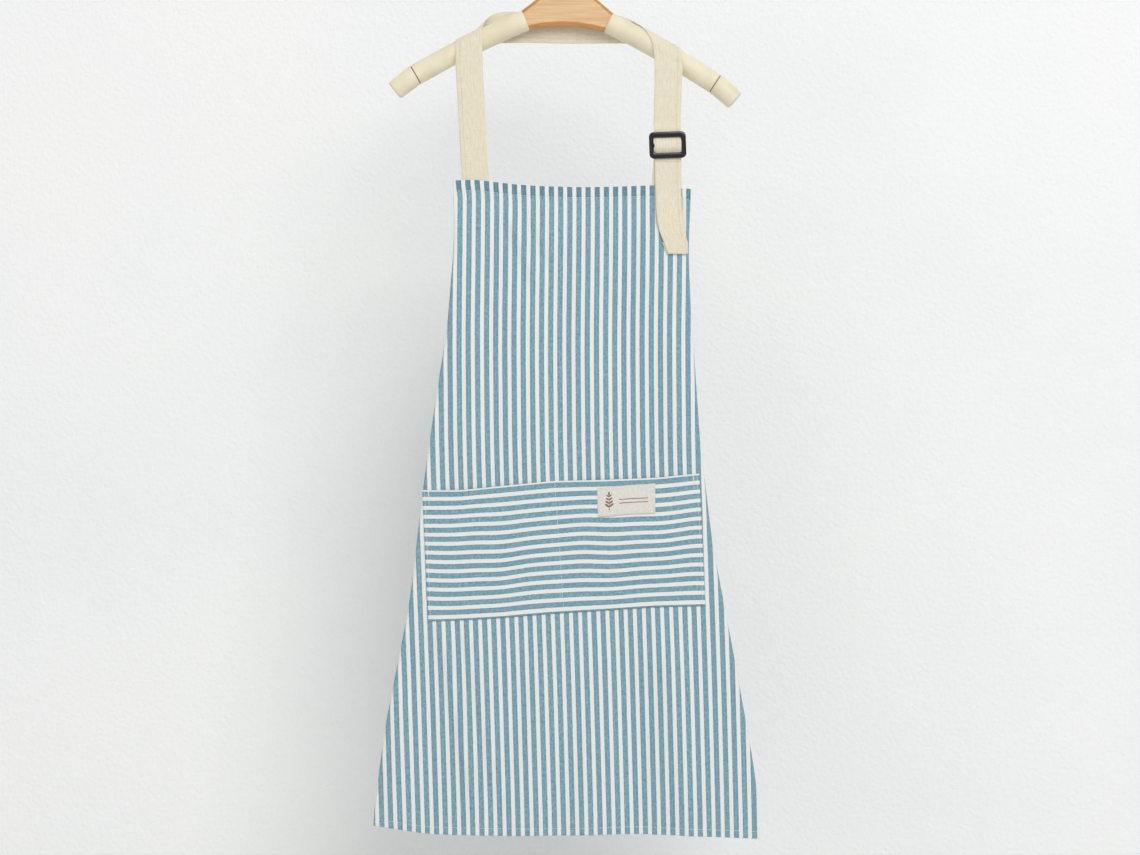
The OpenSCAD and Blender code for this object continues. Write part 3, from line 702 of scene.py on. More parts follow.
# Apron cloth: measures in millimetres, distances down from the top edge. Pairs of lists give an
# edge: where it is read, and its place there
apron = {
    "length": 811.0, "cloth": 0.7, "hemFold": 13.0, "foldRadius": 0.42, "edgeHem": 7.0, "hemBand": 14.0,
    "lowSeam": 9.0, "armholeSeam": 5.5, "hemForward": 16.5, "frontForward": 20.3, "bulge": 53.0,
    "wingForward": 14.3, "wingSway": (1.4, 95.0), "wingSlack": 1.2, "armholeDown": 257.0,
    "wingWaist": 158.0, "wingHem": 77.0,
    "top": ((-145.8, -117.5, -102.5, -68.8, -35.0, 11.3, 58.8, 103.0, 141.3, 151.3),
            (-325.1, -324.5, -326.3, -330.1, -332.4, -333.6, -333.0, -331.3, -335.3, -335.8)),
    "bottom": ((-247.5, -225.0, -178.8, -75.0, 72.5, 138.8, 240.0),
               (-1130.8, -1134.5, -1142.0, -1144.5, -1142.0, -1143.3, -1148.3)),
    "left": ((0, 74, 187, 262, 374, 524, 687, 804),
             (146.3, 144.3, 153.8, 166.3, 182.5, 200.0, 231.3, 246.3)),
    "right": ((0, 79, 142, 317, 442, 592, 729, 814),
              (151.3, 147.5, 150.5, 162.5, 177.5, 206.3, 231.3, 238.8)),
    "drift": ((0, 90, 191, 335, 617, 766, 820), (0, -0.3, -1.6, -0.3, 9.8, 14.1, 15.6)),
    "drawnIn": 0.0073, "pull": (2.6, -146.0, 70.0, 24.0), "ridgeScale": 1.9,
    "pucker": (6.0, 0.26, 7.1), "groove": (0.45, 1.3),
    "lowPucker": (7.0, 0.3, 9.3), "lowGroove": (0.35, 1.3),
}
# Soft ridges in the cloth: x and distance down at both ends, width, height forward
ridges = [
    (-91, 0, -46, 111, 9, 2.2), (-72, 6, -32, 100, 9, -1.6), (91, 30, 96, 120, 9, 1.8),
    (62, 0, 58, 130, 14, 1.2),
    (-162, 543, -122, 750, 9, 3.0), (-142, 556, -102, 770, 11, -2.2), (120, 560, 150, 800, 18, 2.4),
    (30, 560, 24, 805, 22, 2.0), (-40, 590, -52, 805, 20, 1.8), (80, 600, 92, 805, 16, -1.8),
    (-205, 640, -222, 800, 14, 2.4), (-70, 120, -66, 350, 26, 1.5), (70, 140, 74, 350, 22, -1.4),
    (20, 60, 26, 340, 20, 1.2), (-120, 150, -128, 360, 16, 1.3), (128, 180, 140, 380, 14, 1.5),
]


def hump(distance, size):
    # a bell across a line, of the given height and half width
    high, wide = size
    return high * np.exp(-(distance / wide) ** 2)


def clothRelief(x, down):
    # each ridge is a bell across its line, faded in and out along it; plus slow waves, and by each
    # hem's seam a furrow and a row of puckers sin(2 pi x / wavelength) under a bell
    total = 0.5 * np.sin(x / 31 + down / 210) + 0.35 * np.sin(x / 17 - down / 160)
    total = total + (down / 800) ** 2 * 1.3 * np.sin(x / 24 + 1.1)
    for x0, d0, x1, d1, wide, high in ridges:
        run = (down - d0) / (d1 - d0)
        bell = hump(x - (x0 + (x1 - x0) * run), (apron["ridgeScale"] * high, wide))
        total = total + bell * eased(run * 3 + 0.4) * eased((1.25 - run) * 3)
    seamLine = down - apron["hemBand"] + 1.0
    wide, high, wave = apron["pucker"]
    pucker = hump(seamLine, (high, wide)) * np.sin(x * 2 * np.pi / wave + 1.5 * np.sin(x / 23))
    groove = 0.25 * eased(-seamLine / 1.5) - hump(seamLine, apron["groove"])
    low = apron["length"] - apron["lowSeam"] - down
    wide, high, wave = apron["lowPucker"]
    lowHem = hump(low, (high, wide)) * np.sin(x * 2 * np.pi / wave) - hump(low, apron["lowGroove"])
    return total * eased(down / 60) + pucker + groove + lowHem


def frontForward(x, down):
    # how far the front of the apron stands forward: the hem band, then a bulge out to the front layer
    bulge = eased((down - apron["hemBand"]) / apron["bulge"])
    return apron["hemForward"] + (apron["frontForward"] - apron["hemForward"]) * bulge + clothRelief(x, down)


def topEdge(x):
    return softTable(x, *apron["top"], 7.0)


def bottomEdge(x):
    return softTable(x, *apron["bottom"], 14.0)


def sideEdge(side, down):
    edges = [softTable(down, *apron[name], 32.0) for name in ("left", "right")]
    return np.where(side < 0, *edges)


def clothDrift(x, down):
    # the skirt's stripes lean to the right and draw in a little; at the top left corner the hem
    # pulls them outward
    far, corner, wide, fade = apron["pull"]
    pulled = -far * np.exp(-(x - corner) / wide) * (1 - eased(down / fade))
    drawn = apron["drawnIn"] * x * (down / apron["length"]) ** 2
    return softTable(down, *apron["drift"], 40.0) + pulled - drawn


def wingWidth(down):
    # width folded behind: a quarter ellipse down to the waist, then an even taper to the hem
    fall = np.clip(down / apron["armholeDown"], 0, 1)
    armhole = apron["wingWaist"] * (1 - np.sqrt(1 - fall * fall))
    lower = (down - apron["armholeDown"]) / (apron["length"] - apron["armholeDown"])
    skirt = apron["wingWaist"] + (apron["wingHem"] - apron["wingWaist"]) * np.clip(lower, 0, 1)
    return np.maximum(np.where(down < apron["armholeDown"], armhole, skirt), apron["edgeHem"])


def foldedDown(flatDown):
    # flat distance down the cloth to distance below the top edge, and how far back it lies:
    # both hems turn round a small circle and run back behind the front
    radius = apron["foldRadius"]
    quarter = math.pi / 2 * radius
    length = apron["length"]

    def turned(run):
        angle = np.clip(run / radius, -np.pi / 2, np.pi / 2)
        place = radius * (1 - np.cos(angle)) + np.maximum(np.abs(run) - quarter, 0)
        return place, radius * (1 - np.sin(angle))

    fromTop, backTop = turned(flatDown)
    fromBottom, backBottom = turned(length - flatDown)
    down = np.where(flatDown < length / 2, fromTop, length - fromBottom)
    return down, np.where(flatDown < length / 2, backTop, backBottom)


# Shares of the way across half the cloth at which the front and the turn round its side end
frontShare = 0.6
turnShare = 0.7


def clothPoint(side, share, flatDown):
    # the front runs out to the side, turns half a circle of the radius that lies between front and
    # wing, and runs back behind; the hems turned inside lie between the two, within the turn
    down, back = foldedDown(flatDown)
    edge = sideEdge(side, down)
    front = frontForward(side * edge, down) - back
    sway, wave = apron["wingSway"]
    wing = apron["wingForward"] + sway * np.sin(down / wave + side) * eased((down - 120) / 200) + back
    edge = edge - back
    radius = np.maximum((front - wing) / 2, 0.05)
    turn = np.clip((share - frontShare) / (turnShare - frontShare), 0, 1) * np.pi
    behind = np.clip((share - turnShare) / (1 - turnShare), 0, 1) * wingWidth(down)
    isFront = share <= frontShare
    overFront = share / frontShare * (edge - radius)
    x = np.where(isFront, overFront, edge - radius + radius * np.sin(turn) - behind)
    forward = np.where(isFront, frontForward(side * x, down) - back, front - radius * (1 - np.cos(turn)))
    slack = apron["wingSlack"] * np.sin(behind / 26 + down / 70) * eased(behind / 60)
    forward = forward + np.where(share > turnShare, slack * eased((down - 90) / 150), 0)
    across = np.where(isFront, x, edge - radius + turn * radius + behind)
    flatAcross = side * across - clothDrift(side * np.minimum(x, edge), down)
    worldX = side * x
    z = topEdge(worldX) + (bottomEdge(worldX) - topEdge(worldX)) * down / apron["length"]
    point = np.stack([worldX, -forward, z], axis=-1) * mm
    return point, np.stack([flatAcross, -flatDown], axis=-1) * mm


fold = apron["hemFold"]
length = apron["length"]
turnRows = np.linspace(-1.2, 1.2, 9)
flatRows = np.r_[
    np.linspace(-fold, -2, 7), turnRows, np.linspace(2, 30, 24), np.linspace(33, 800, 250)[:-1],
    np.linspace(800, length - 2, 8), length + turnRows, length + np.linspace(2, fold, 6),
]
shares = np.r_[np.linspace(0, frontShare, 71)[:-1], np.linspace(frontShare, turnShare, 11)[:-1],
               np.linspace(turnShare, 1, 31)]
signed = np.r_[-shares[::-1][:-1], shares]
shareGrid, downGrid = np.meshgrid(signed, flatRows)
clothPoints, clothFlat = clothPoint(np.where(shareGrid < 0, -1.0, 1.0), np.abs(shareGrid), downGrid)
apronCloth = makePiece("apronCloth", clothShell(clothPoints, clothFlat, apron["cloth"] * mm), apronCotton)
belongs(apronCloth, "apron", "striped_cotton", "front_panel", "left_wing", "right_wing")
print("apron cloth made:", clothPoints.shape)


def onCloth(side, share, flatDown):
    # a route on the cloth's outer face, and the way out from it, for threads
    point, _ = clothPoint(side, share, flatDown)
    overStep = clothPoint(side, share + 1e-4, flatDown)[0] - point
    downStep = clothPoint(side, share, flatDown + 0.05)[0] - point
    out = np.cross(overStep, downStep) * side[..., None]
    out /= np.linalg.norm(out, axis=-1, keepdims=True)
    facing = np.sign(np.where(share < (frontShare + turnShare) / 2, -out[..., 1], out[..., 1]))
    out = out * facing[..., None]
    return point + out * thread["proud"] * mm, out


def sew(name, side, share, flatDown):
    # a row of stitches along a line on the cloth
    side, share, flatDown = np.broadcast_arrays(side * 1.0, share, flatDown)
    route, out = onCloth(side, share, flatDown)
    line = stitches(name, route, out, thread["cloth"], whiteThread)
    belongs(line, "apron", "striped_cotton")
    return line


alongHem = np.linspace(-frontShare, frontShare, 241)
hemSide = np.where(alongHem < 0, -1, 1)
hemThreads = [
    sew("topHemThread", hemSide, np.abs(alongHem), apron["hemBand"] - 1.0),
    sew("bottomHemThread", hemSide, np.abs(alongHem), length - apron["lowSeam"]),
]
alongSide = np.linspace(16, length - 12, 400)
inset = 1 - (1 - turnShare) * apron["armholeSeam"] / wingWidth(foldedDown(alongSide)[0])
for side, sideName in ((-1.0, "left"), (1.0, "right")):
    hemThreads.append(sew(sideName + "ArmholeThread", side, inset, alongSide))


# Pocket: its outline across and up in millimetres; at each of left, right and divider, the place
# at the top edge and at the bottom one
pocket = {
    "top": ((-184.5, -136, -85, -21, 42.5, 106, 161.3),
            (-712.8, -712.8, -707.6, -701.3, -700, -697.5, -691.9)),
    "bottom": ((-176.8, -136, -85, -21, 42.5, 106, 168.8),
               (-876, -874.8, -872, -866.4, -862.8, -858.6, -856.9)),
    "left": (-184.5, -176.8), "right": (161.3, 168.8), "divider": (-19.0, -7.6), "soften": 9.0,
    "cloth": 0.7, "gapTop": 3.6, "belly": 1.1, "stand": 0.9, "cutWidth": 345.0, "cutHeight": 164.0,
    "topFold": 12.0, "foldBack": 0.85, "ripple": 0.35, "tackLong": 0.10, "tackWide": 0.008,
}


def pocketEdges(x):
    # heights of the top and the bottom edge
    return [softTable(x, *pocket[name], pocket["soften"]) for name in ("top", "bottom")]


def pocketPoint(s, t, lift=0.0):
    # s runs from the left edge to the right, t from the top edge to the bottom; the cloth stands off
    # most in the middle of each half of the top edge
    (leftTop, leftLow), (rightTop, rightLow) = pocket["left"], pocket["right"]
    x = (leftTop + (rightTop - leftTop) * s) * (1 - t) + (leftLow + (rightLow - leftLow) * s) * t
    high, low = pocketEdges(x)
    inside = t * (1 - t) * 4
    z = high + (low - high) * t + 1.1 * np.sin(x / 27 + 3 * t) * inside + 0.5 * np.sin(x / 11) * inside
    middle = pocket["divider"][0] + (pocket["divider"][1] - pocket["divider"][0]) * t
    span = np.where(x < middle, (x + 184) / (middle + 184), (168 - x) / (168 - middle))
    belly = np.sin(np.clip(span, 0, 1) * np.pi) ** 0.8
    stand = pocket["stand"] + belly * (pocket["gapTop"] * (1 - t) ** 1.3 + pocket["belly"] * inside)
    ripple = pocket["ripple"] * np.sin(x / 9 + 5 * t) * belly * (1 - t)
    down = (topEdge(x) - z) * apron["length"] / (topEdge(x) - bottomEdge(x))
    forward = frontForward(x, down) + stand + ripple + lift
    return np.stack([x, -forward, z], axis=-1) * mm


def pocketRows(rows, lift=0.0):
    # points and flat places of some rows of the pocket's cloth
    s, t = np.meshgrid(np.linspace(0, 1, 141), rows)
    flat = np.stack([-t * pocket["cutHeight"], (s - 0.5) * pocket["cutWidth"]], axis=-1) * mm
    return pocketPoint(s, t, lift), flat


# The cloth folded in behind the top edge, one row round the turn, and the face
facePoints, faceFlat = pocketRows(np.linspace(0, 1, 71))
foldRows = np.linspace(pocket["topFold"] / pocket["cutHeight"], 0.006, 7)
foldPoints, foldFlat = pocketRows(foldRows, -pocket["foldBack"])
turnPoints = (facePoints[:1] + pocketRows([0.0], -pocket["foldBack"])[0]) / 2 + [0, 0, 0.42 * mm]
pocketPoints = np.concatenate([foldPoints, turnPoints, facePoints])
pocketFlat = np.concatenate([foldFlat * [-1, 1], faceFlat[:1], faceFlat])
pocketShell = clothShell(pocketPoints, pocketFlat, pocket["cloth"] * mm)
frontPocket = makePiece("frontPocket", pocketShell, pocketCotton)
belongs(frontPocket, "apron", "striped_cotton", "pocket")


def sewPocket(name, s, t, size=thread["cloth"]):
    s, t = np.broadcast_arrays(s * 1.0, t)
    route = pocketPoint(s, t, thread["proud"])
    line = stitches(name, route, each([0, -1, 0], route), size, whiteThread)
    belongs(line, "apron", "striped_cotton")


run = np.linspace(0, 1, 160)
sewPocket("pocketLeftThread", 0.008, 0.01 + 0.98 * run)
sewPocket("pocketRightThread", 0.992, 0.01 + 0.98 * run)
sewPocket("pocketBottomThread", run, 0.985)
leftPlace, rightPlace, dividerPlace = (np.array(pocket[name]) for name in ("left", "right", "divider"))
dividerTop, dividerLow = (dividerPlace - leftPlace) / (rightPlace - leftPlace)
sewPocket("pocketDividerThread", dividerTop + (dividerLow - dividerTop) * run, run * 0.985 + 0.01)
zigzag = pocket["tackWide"] * (np.arange(25) % 2)
tackDown = 0.012 + pocket["tackLong"] * np.linspace(0, 1, 25)
sewPocket("pocketRightTack", 0.975 + zigzag, tackDown, thread["tack"])
sewPocket("pocketLeftTack", 0.018 + zigzag, tackDown, thread["tack"])
print("pocket made")

label = {
    "top": ((33.8, -709.5), (106.3, -703.3)), "bottom": ((35.0, -745.8), (106.3, -740.8)),
    "flat": (72.0, 37.0), "cloth": 0.45, "stand": 0.75, "puff": 0.5, "seamIn": (0.03, 0.06),
    "threadLift": 0.28, "printLift": 0.27, "printCloth": 0.06,
}


def labelPoint(s, t, lift=0.0):
    # a patch between four corners, lying on the pocket, its middle a little proud:
    # puff times the root of sin(pi s) sin(pi t)
    ends = [np.array(left) * (1 - s)[..., None] + np.array(right) * s[..., None]
            for left, right in (label["top"], label["bottom"])]
    place = ends[0] * (1 - t)[..., None] + ends[1] * t[..., None]
    x, z = place[..., 0], place[..., 1]
    z = z + 0.35 * np.sin(x / 9)
    acrossPocket = (x - pocket["left"][0]) / (pocket["right"][0] - pocket["left"][0])
    high, low = pocketEdges(x)
    base = pocketPoint(acrossPocket, np.clip((z - high) / (low - high), 0, 1))
    puff = label["puff"] * np.sqrt(np.clip(np.sin(s * np.pi) * np.sin(t * np.pi), 0, 1))
    return np.stack([x, base[..., 1] / mm - label["stand"] - puff - lift, z], axis=-1) * mm


s, t = np.meshgrid(np.linspace(0, 1, 37), np.linspace(0, 1, 21))
labelFlat = np.stack([(s - 0.5) * label["flat"][0], (t - 0.5) * -label["flat"][1]], axis=-1) * mm
labelShell = clothShell(labelPoint(s, t), labelFlat, label["cloth"] * mm)
labelPatch = makePiece("labelPatch", labelShell, labelCotton)
belongs(labelPatch, "apron", "label_cotton", "label")


def throughCorners(corners, count):
    # count places along each straight stretch between corners
    corners = np.asarray(corners, float)
    at = np.linspace(0, len(corners) - 1, count * (len(corners) - 1))
    return [np.interp(at, np.arange(len(corners)), column) for column in corners.T]


inS, inT = label["seamIn"]
edgeRoute = labelPoint(*throughCorners(
    [(inS, inT), (1 - inS, inT), (1 - inS, 1 - inT), (inS, 1 - inT), (inS, inT)], 60
), label["threadLift"])
labelThread = stitches("labelThread", edgeRoute, each([0, -1, 0], edgeRoute), thread["label"], creamThread)
belongs(labelThread, "apron", "label_cotton")

# A small leaf sprig and two plain rules, in millimetres from the label's middle
sprig = {
    "stemX": -21.5, "stem": (-11.0, 8.5), "stemHalf": 0.3, "pairs": 4, "firstLeaf": -6.5, "leafStep": 4.3,
    "leaf": (7.0, 2.6), "shrink": 0.12, "angles": (38, 142), "tip": (7.6, 5.5, 2.2),
    "rules": (1.4, -3.2), "ruleEnds": (-9.0, 27.0), "ruleHalf": 0.45,
}


def leafGrid(base, angle, length, width):
    # a pointed leaf: along 0..1, half width sin(pi along) to the power 0.8 times across -1..1
    along, across = np.meshgrid(np.linspace(0.02, 0.98, 13), np.linspace(-1, 1, 7), indexing="ij")
    out = length * along
    side = width / 2 * np.sin(np.pi * along) ** 0.8 * across
    x = base[0] + out * math.cos(angle) - side * math.sin(angle)
    z = base[1] + out * math.sin(angle) + side * math.cos(angle)
    return x, z


def barGrid(low, high, half, count):
    # a straight bar: places along it and across it
    along, across = np.meshgrid(np.linspace(low, high, count), np.linspace(-half, half, 5), indexing="ij")
    return along, across


up, aside = barGrid(*sprig["stem"], sprig["stemHalf"], 13)
marks = [(sprig["stemX"] + aside, up)]
for index in range(sprig["pairs"]):
    size = 1 - sprig["shrink"] * index
    base = (sprig["stemX"], sprig["firstLeaf"] + index * sprig["leafStep"])
    for angle in sprig["angles"]:
        marks.append(leafGrid(base, math.radians(angle), *[measure * size for measure in sprig["leaf"]]))
tipZ, tipLong, tipWide = sprig["tip"]
marks.append(leafGrid((sprig["stemX"], tipZ), math.pi / 2, tipLong, tipWide))
for low in sprig["rules"]:
    along, aside = barGrid(*sprig["ruleEnds"], sprig["ruleHalf"], 25)
    marks.append((along, low + aside))
shapes = []
for x, z in marks:
    points = labelPoint(0.5 + x / label["flat"][0], 0.5 - z / label["flat"][1], label["printLift"])
    shapes.append(clothShell(points, np.stack([x, z], axis=-1) * mm, label["printCloth"] * mm))
offset = np.r_[0, np.cumsum([len(shape[0]) for shape in shapes])]
labelMark = makePiece("labelMark", (
    np.vstack([shape[0] for shape in shapes]),
    np.vstack([shape[1] + start for shape, start in zip(shapes, offset)]),
    None,
    np.vstack([shape[3] + start for shape, start in zip(shapes, offset)]),
), printInk)
belongs(labelMark, "apron", "label_cotton")
print("label made")


# Neck strap: the near edge is the one nearer the apron's middle, and the upper one behind the neck;
# each row holds x, y and z of both edges
strap = {
    "thickness": 1.2 * mm, "tabThickness": 0.75 * mm, "step": 1.6, "soften": 4.0, "clear": 14.15,
    "seam": (10, 0.4), "boxes": (("strapBoxThread", -131.5), ("tabBoxThread", 105.2)),
    "boxWidth": 26.4, "boxZ": (-345.5, -335.8), "boxY": -13.95,
}
leftFront = [
    (-101.8, -14.6, -346, -134.8, -14.6, -346), (-102.2, -14.6, -322, -135.2, -14.6, -322),
    (-107, -14.5, -233, -140, -14.5, -233), (-109.5, -14.5, -185, -142.6, -14.5, -185),
    (-110.2, -14.5, -160, -143.4, -14.4, -168), (-110.3, -12.5, -142, -143.6, -11.5, -156),
    (-110.2, -5, -134, -143.5, -5, -148.5), (-110, 1, -132, -143, 2, -146.8),
]
leftBack = [
    (-109.5, 5, -127.5, -140.5, 7.5, -148), (-107, 9, -120.2, -135, 12, -150.3),
    (-97, 12.6, -111.8, -124, 14.4, -150.5), (-84, 14.2, -108.8, -107, 14.5, -149),
    (-72, 14.5, -108.6, -88, 14.5, -147.8), (-50, 14.5, -111.8, -52, 14.5, -147.4),
]
middleBack = [(0, 14.5, -114.9, 0, 14.5, -148.4)]
rightBack = [
    (50, 14.5, -114.5, 50, 14.5, -148), (63.75, 14.4, -113.6, 75, 14.5, -148.4),
    (78.75, 10.5, -120.75, 98, 14.4, -152), (90, -2, -129.4, 118, 13.2, -154.5),
]
rightFront = [
    (98.75, -11.9, -142, 131, 8.2, -156), (103.75, -14.3, -153.3, 137.5, -4, -157.5),
    (106.25, -14.6, -169.5, 140.2, -11, -165), (106.4, -14.5, -182, 141, -14.4, -180),
    (106.5, -14.5, -203, 139.5, -14.5, -203), (105.0, -15.2, -250, 138, -15.2, -250),
]
throughBuckle = [
    (105.2, -17.7, -262, 138.2, -17.7, -262), (105.6, -17.8, -270, 138.6, -17.8, -270),
    (106, -21.9, -277.6, 138.8, -21.9, -277.0), (106, -21.9, -284.2, 138.8, -21.9, -283.6),
    (106, -17.8, -291.5, 138.8, -17.8, -291), (106.1, -17.8, -301.65, 138.8, -17.8, -301.65),
]
strapRoute = leftFront + leftBack + middleBack + rightBack + rightFront + throughBuckle
strapPoints, strapFlat = ribbon(strapRoute, strap["step"], strap["soften"], 13)
strapPoints = clearOfSleeve(strapPoints, strap["clear"])
neckStrap = makePiece("neckStrap", clothShell(strapPoints, strapFlat, strap["thickness"]), strapCotton)


def edgeThread(name, points, facing=1):
    # threads along a band, a share of the way from one column of its points to the next; facing is
    # 1 for its front and -1 for its back
    column, share = strap["seam"]
    inner = points[:, column] + (points[:, column + 1] - points[:, column]) * share
    out = gridNormals(points)[:, column] * facing
    lift = strap["thickness"] / 2 + thread["edge"] * mm
    return stitches(name, inner + out * lift, out, thread["webbing"], creamThread)


strapThreads = [edgeThread("strapFrontThread", strapPoints), edgeThread("strapBackThread", strapPoints, -1)]
for piece in [neckStrap] + strapThreads:
    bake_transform(piece)
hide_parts("strap_over_left", "strap_back_run", "strap_over_right", "strap_left_run",
            "strap_right_run", "strap_through_buckle")
print("strap made:", strapPoints.shape)

# The tail: hangs from the buckle over the top hem, its end turned up behind and sewn
tailPairs = [
    (106.1, -17.8, -301.65, 138.8, -17.8, -301.65), (106.6, -17.9, -322, 138.8, -17.9, -322),
    (107.5, -18.3, -340, 138.8, -18.3, -340), (108.2, -21.6, -362, 139.4, -21.6, -362),
    (109.6, -22.6, -378, 141, -22.6, -380), (112.5, -23.1, -390.5, 143.4, -23.1, -392),
    (116.6, -23.4, -400.5, 146.6, -23.4, -402.5), (122.4, -23.5, -416.2, 147.2, -23.5, -416.6),
    (122.2, -22.6, -417.3, 147.0, -22.6, -417.7), (121.2, -21.7, -416, 146.4, -21.7, -416.4),
    (117.2, -21.8, -407, 144.8, -21.8, -408), (115.2, -21.8, -402.5, 143.4, -21.8, -404),
]
tailPoints, tailFlat = ribbon(tailPairs, 1.0, 1.2, 13)
strapTail = makePiece("strapTail", clothShell(tailPoints, tailFlat, strap["thickness"]), strapCotton)
endRoute = np.linspace([117.6, -24.05, -405.0], [146.2, -24.05, -406.0], 40) * mm
tailThreads = [
    edgeThread("tailEdgeThread", tailPoints[:118]),
    stitches("tailEndThread", endRoute, each([0, -1, 0], endRoute), thread["joining"], creamThread),
]
for piece in [strapTail] + tailThreads:
    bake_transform(piece)
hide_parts("tail_run", "tail_end")

# The tab: sewn behind the hem, up behind the tail, round the middle bar and down again
tabPairs = [
    (101.8, -14.6, -347, 134.3, -14.6, -347), (102.0, -14.6, -333, 134.5, -14.6, -333),
    (103.2, -15.4, -318, 135.4, -15.4, -318), (104.6, -15.7, -303, 136.6, -15.7, -303),
    (105.6, -15.7, -292.5, 137.4, -15.7, -292.5), (106.0, -18.7, -285, 137.8, -18.7, -284.6),
    (106.0, -18.9, -278.9, 137.8, -18.9, -278.5), (106.0, -19.9, -277.9, 137.8, -19.9, -277.5),
    (106.0, -20.9, -278.9, 137.8, -20.9, -278.5), (106.0, -20.9, -282.9, 137.8, -20.9, -282.5),
    (106.0, -19.8, -285.4, 137.8, -19.8, -285), (105.7, -16.6, -292.8, 137.5, -16.6, -292.5),
    (105.4, -16.55, -301, 137.2, -16.55, -301),
]
tabPoints, tabFlat = ribbon(tabPairs, 0.7, 0.7, 9)
buckleTab = makePiece("buckleTab", clothShell(tabPoints, tabFlat, strap["tabThickness"]), strapCotton)
belongs(buckleTab, "apron", "strap_cotton", "buckle_tab")

# Threads that hold the strap and the tab behind the hem: a crossed box on each
for name, left in strap["boxes"]:
    right = left + strap["boxWidth"]
    low, high = strap["boxZ"]
    corners = [(left, low), (right, low), (right, high), (left, high), (left, low), (right, high)]
    x, z = throughCorners(corners, 48)
    route = np.stack([x, 0 * x + strap["boxY"], z], axis=1) * mm
    boxThread = stitches(name, route, each([0, 1, 0], route), thread["joining"], creamThread)
    belongs(boxThread, "apron", "strap_cotton")
print("tail and tab made")


buckle = {
    "outer": (46.2, 33.3, 6.0), "window": (34.4, 19.3, 2.2), "thickness": 3.4, "forward": 20.4, "turn": 2.0,
    "barHalf": 18.6, "barHeight": 5.0, "barThickness": 1.1, "barBack": 0.45, "square": 0.5,
}
buckleMiddle = np.mean(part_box("buckle_frame"), axis=0)


def roundedFrame(angle, width, height, corner):
    # a rectangle with round corners: sides cos and sin raised to a small power of the corner's share
    straight = np.array([width / 2 - corner, height / 2 - corner])
    quarter = np.floor(angle / (np.pi / 2))
    part = angle / (np.pi / 2) - quarter
    turn = (quarter + np.clip((part - 0.25) * 2, 0, 1)) * np.pi / 2
    signX = np.where((quarter == 0) | (quarter == 3), 1.0, -1.0)
    signZ = np.where(quarter < 2, 1.0, -1.0)
    x = signX * straight[0] + corner * np.cos(turn)
    z = signZ * straight[1] + corner * np.sin(turn)
    lead = np.clip(0.25 - part, 0, 0.25) * 4
    trail = np.clip(part - 0.75, 0, 0.25) * 4
    odd = quarter % 2 == 1
    x = np.where(odd, x - signX * straight[0] * lead, x - signX * straight[0] * trail)
    z = np.where(odd, z - signZ * straight[1] * trail, z - signZ * straight[1] * lead)
    return x, z


def roundSquare(count):
    # cos and sin, each raised to a power below 1, give a square with round corners
    turn = np.arange(count) * 2 * np.pi / count
    return [np.sign(wave) * np.abs(wave) ** buckle["square"] for wave in (np.cos(turn), np.sin(turn))]


angle = np.linspace(0, 2 * np.pi, 129)[:-1]
outerX, outerZ = roundedFrame(angle, *buckle["outer"])
innerX, innerZ = roundedFrame(angle, *buckle["window"])
roundX, roundY = roundSquare(24)
mid = np.stack([(outerX + innerX) / 2, 0 * angle, (outerZ + innerZ) / 2], axis=1)
half = np.stack([(outerX - innerX) / 2, 0 * angle, (outerZ - innerZ) / 2], axis=1)
frameRing = mid[:, None] + half[:, None] * roundX[None, :, None]
frameRing[..., 1] -= buckle["thickness"] / 2 * roundY[None]
rings, around = frameRing.shape[:2]
ringQuads = ringFaces(rings + 1, around) % (rings * around)


def placeBuckle(points):
    # turned a little in its own plane, right side up, then set over the CAD frame's middle
    turn = math.radians(buckle["turn"])
    x, y, z = points[..., 0], points[..., 1], points[..., 2]
    across = x * math.cos(turn) - z * math.sin(turn)
    points = np.stack([across, y, x * math.sin(turn) + z * math.cos(turn)], axis=-1)
    return points * mm + [buckleMiddle[0], -buckle["forward"] * mm, buckleMiddle[2]]


frameShape = (placeBuckle(frameRing.reshape(-1, 3)), ringQuads, None, None)
buckleFrame = makePiece("buckleFrame", frameShape, buckleBlack)
end = buckle["barHalf"]
barX = np.r_[-end, np.linspace(-end, end, 25), end]
barRoute = np.stack([barX, 0 * barX + buckle["barBack"], 0 * barX], axis=1)
barSection = np.stack([roundX * buckle["barThickness"], roundY * buckle["barHeight"]], axis=-1) / 2
barSection = barSection * np.r_[0.5, np.ones(25), 0.5][:, None, None]
barShape = tube(barRoute, each([0, 1, 0], barRoute), each([0, 0, 1], barRoute), barSection)
buckleBar = makePiece("buckleBar", (placeBuckle(barShape[0]), barShape[1], None, barShape[3]), buckleBlack)
belongs(buckleFrame, "apron", "buckle_plastic", "buckle_frame")
belongs(buckleBar, "apron", "buckle_plastic")
print("buckle made")


# Waist ties, knotted in a bow behind the waist: measures in millimetres. A lead comes from each side
# to the knot, an end hangs from it, and a loop droops beside it; layers are the leads' places in y
tie = {
    "width": 25.0, "thickness": 1.0 * mm, "knotZ": -602.5, "layers": (-12.6, -11.5),
    "lead": ((46, 0, 12.5), (30, 0, 12.4), (14, 0.6, 9), (3, 3, 6)), "tailLength": 345.0, "tailLean": 5.0,
    "loopLength": 104.0, "droop": 18.0, "loopCurl": 0.34, "loopRoot": 4.6, "knot": (12.5, 5.2, 14.0),
    "knotY": -5.6, "knotCrease": 0.045,
}


def acrossMiddle(middle, halfWay):
    # both edges of a band, from its middle and the way from there to its far edge
    return np.hstack([np.stack(middle, axis=1) - np.stack(halfWay, axis=1),
                      np.stack(middle, axis=1) + np.stack(halfWay, axis=1)])


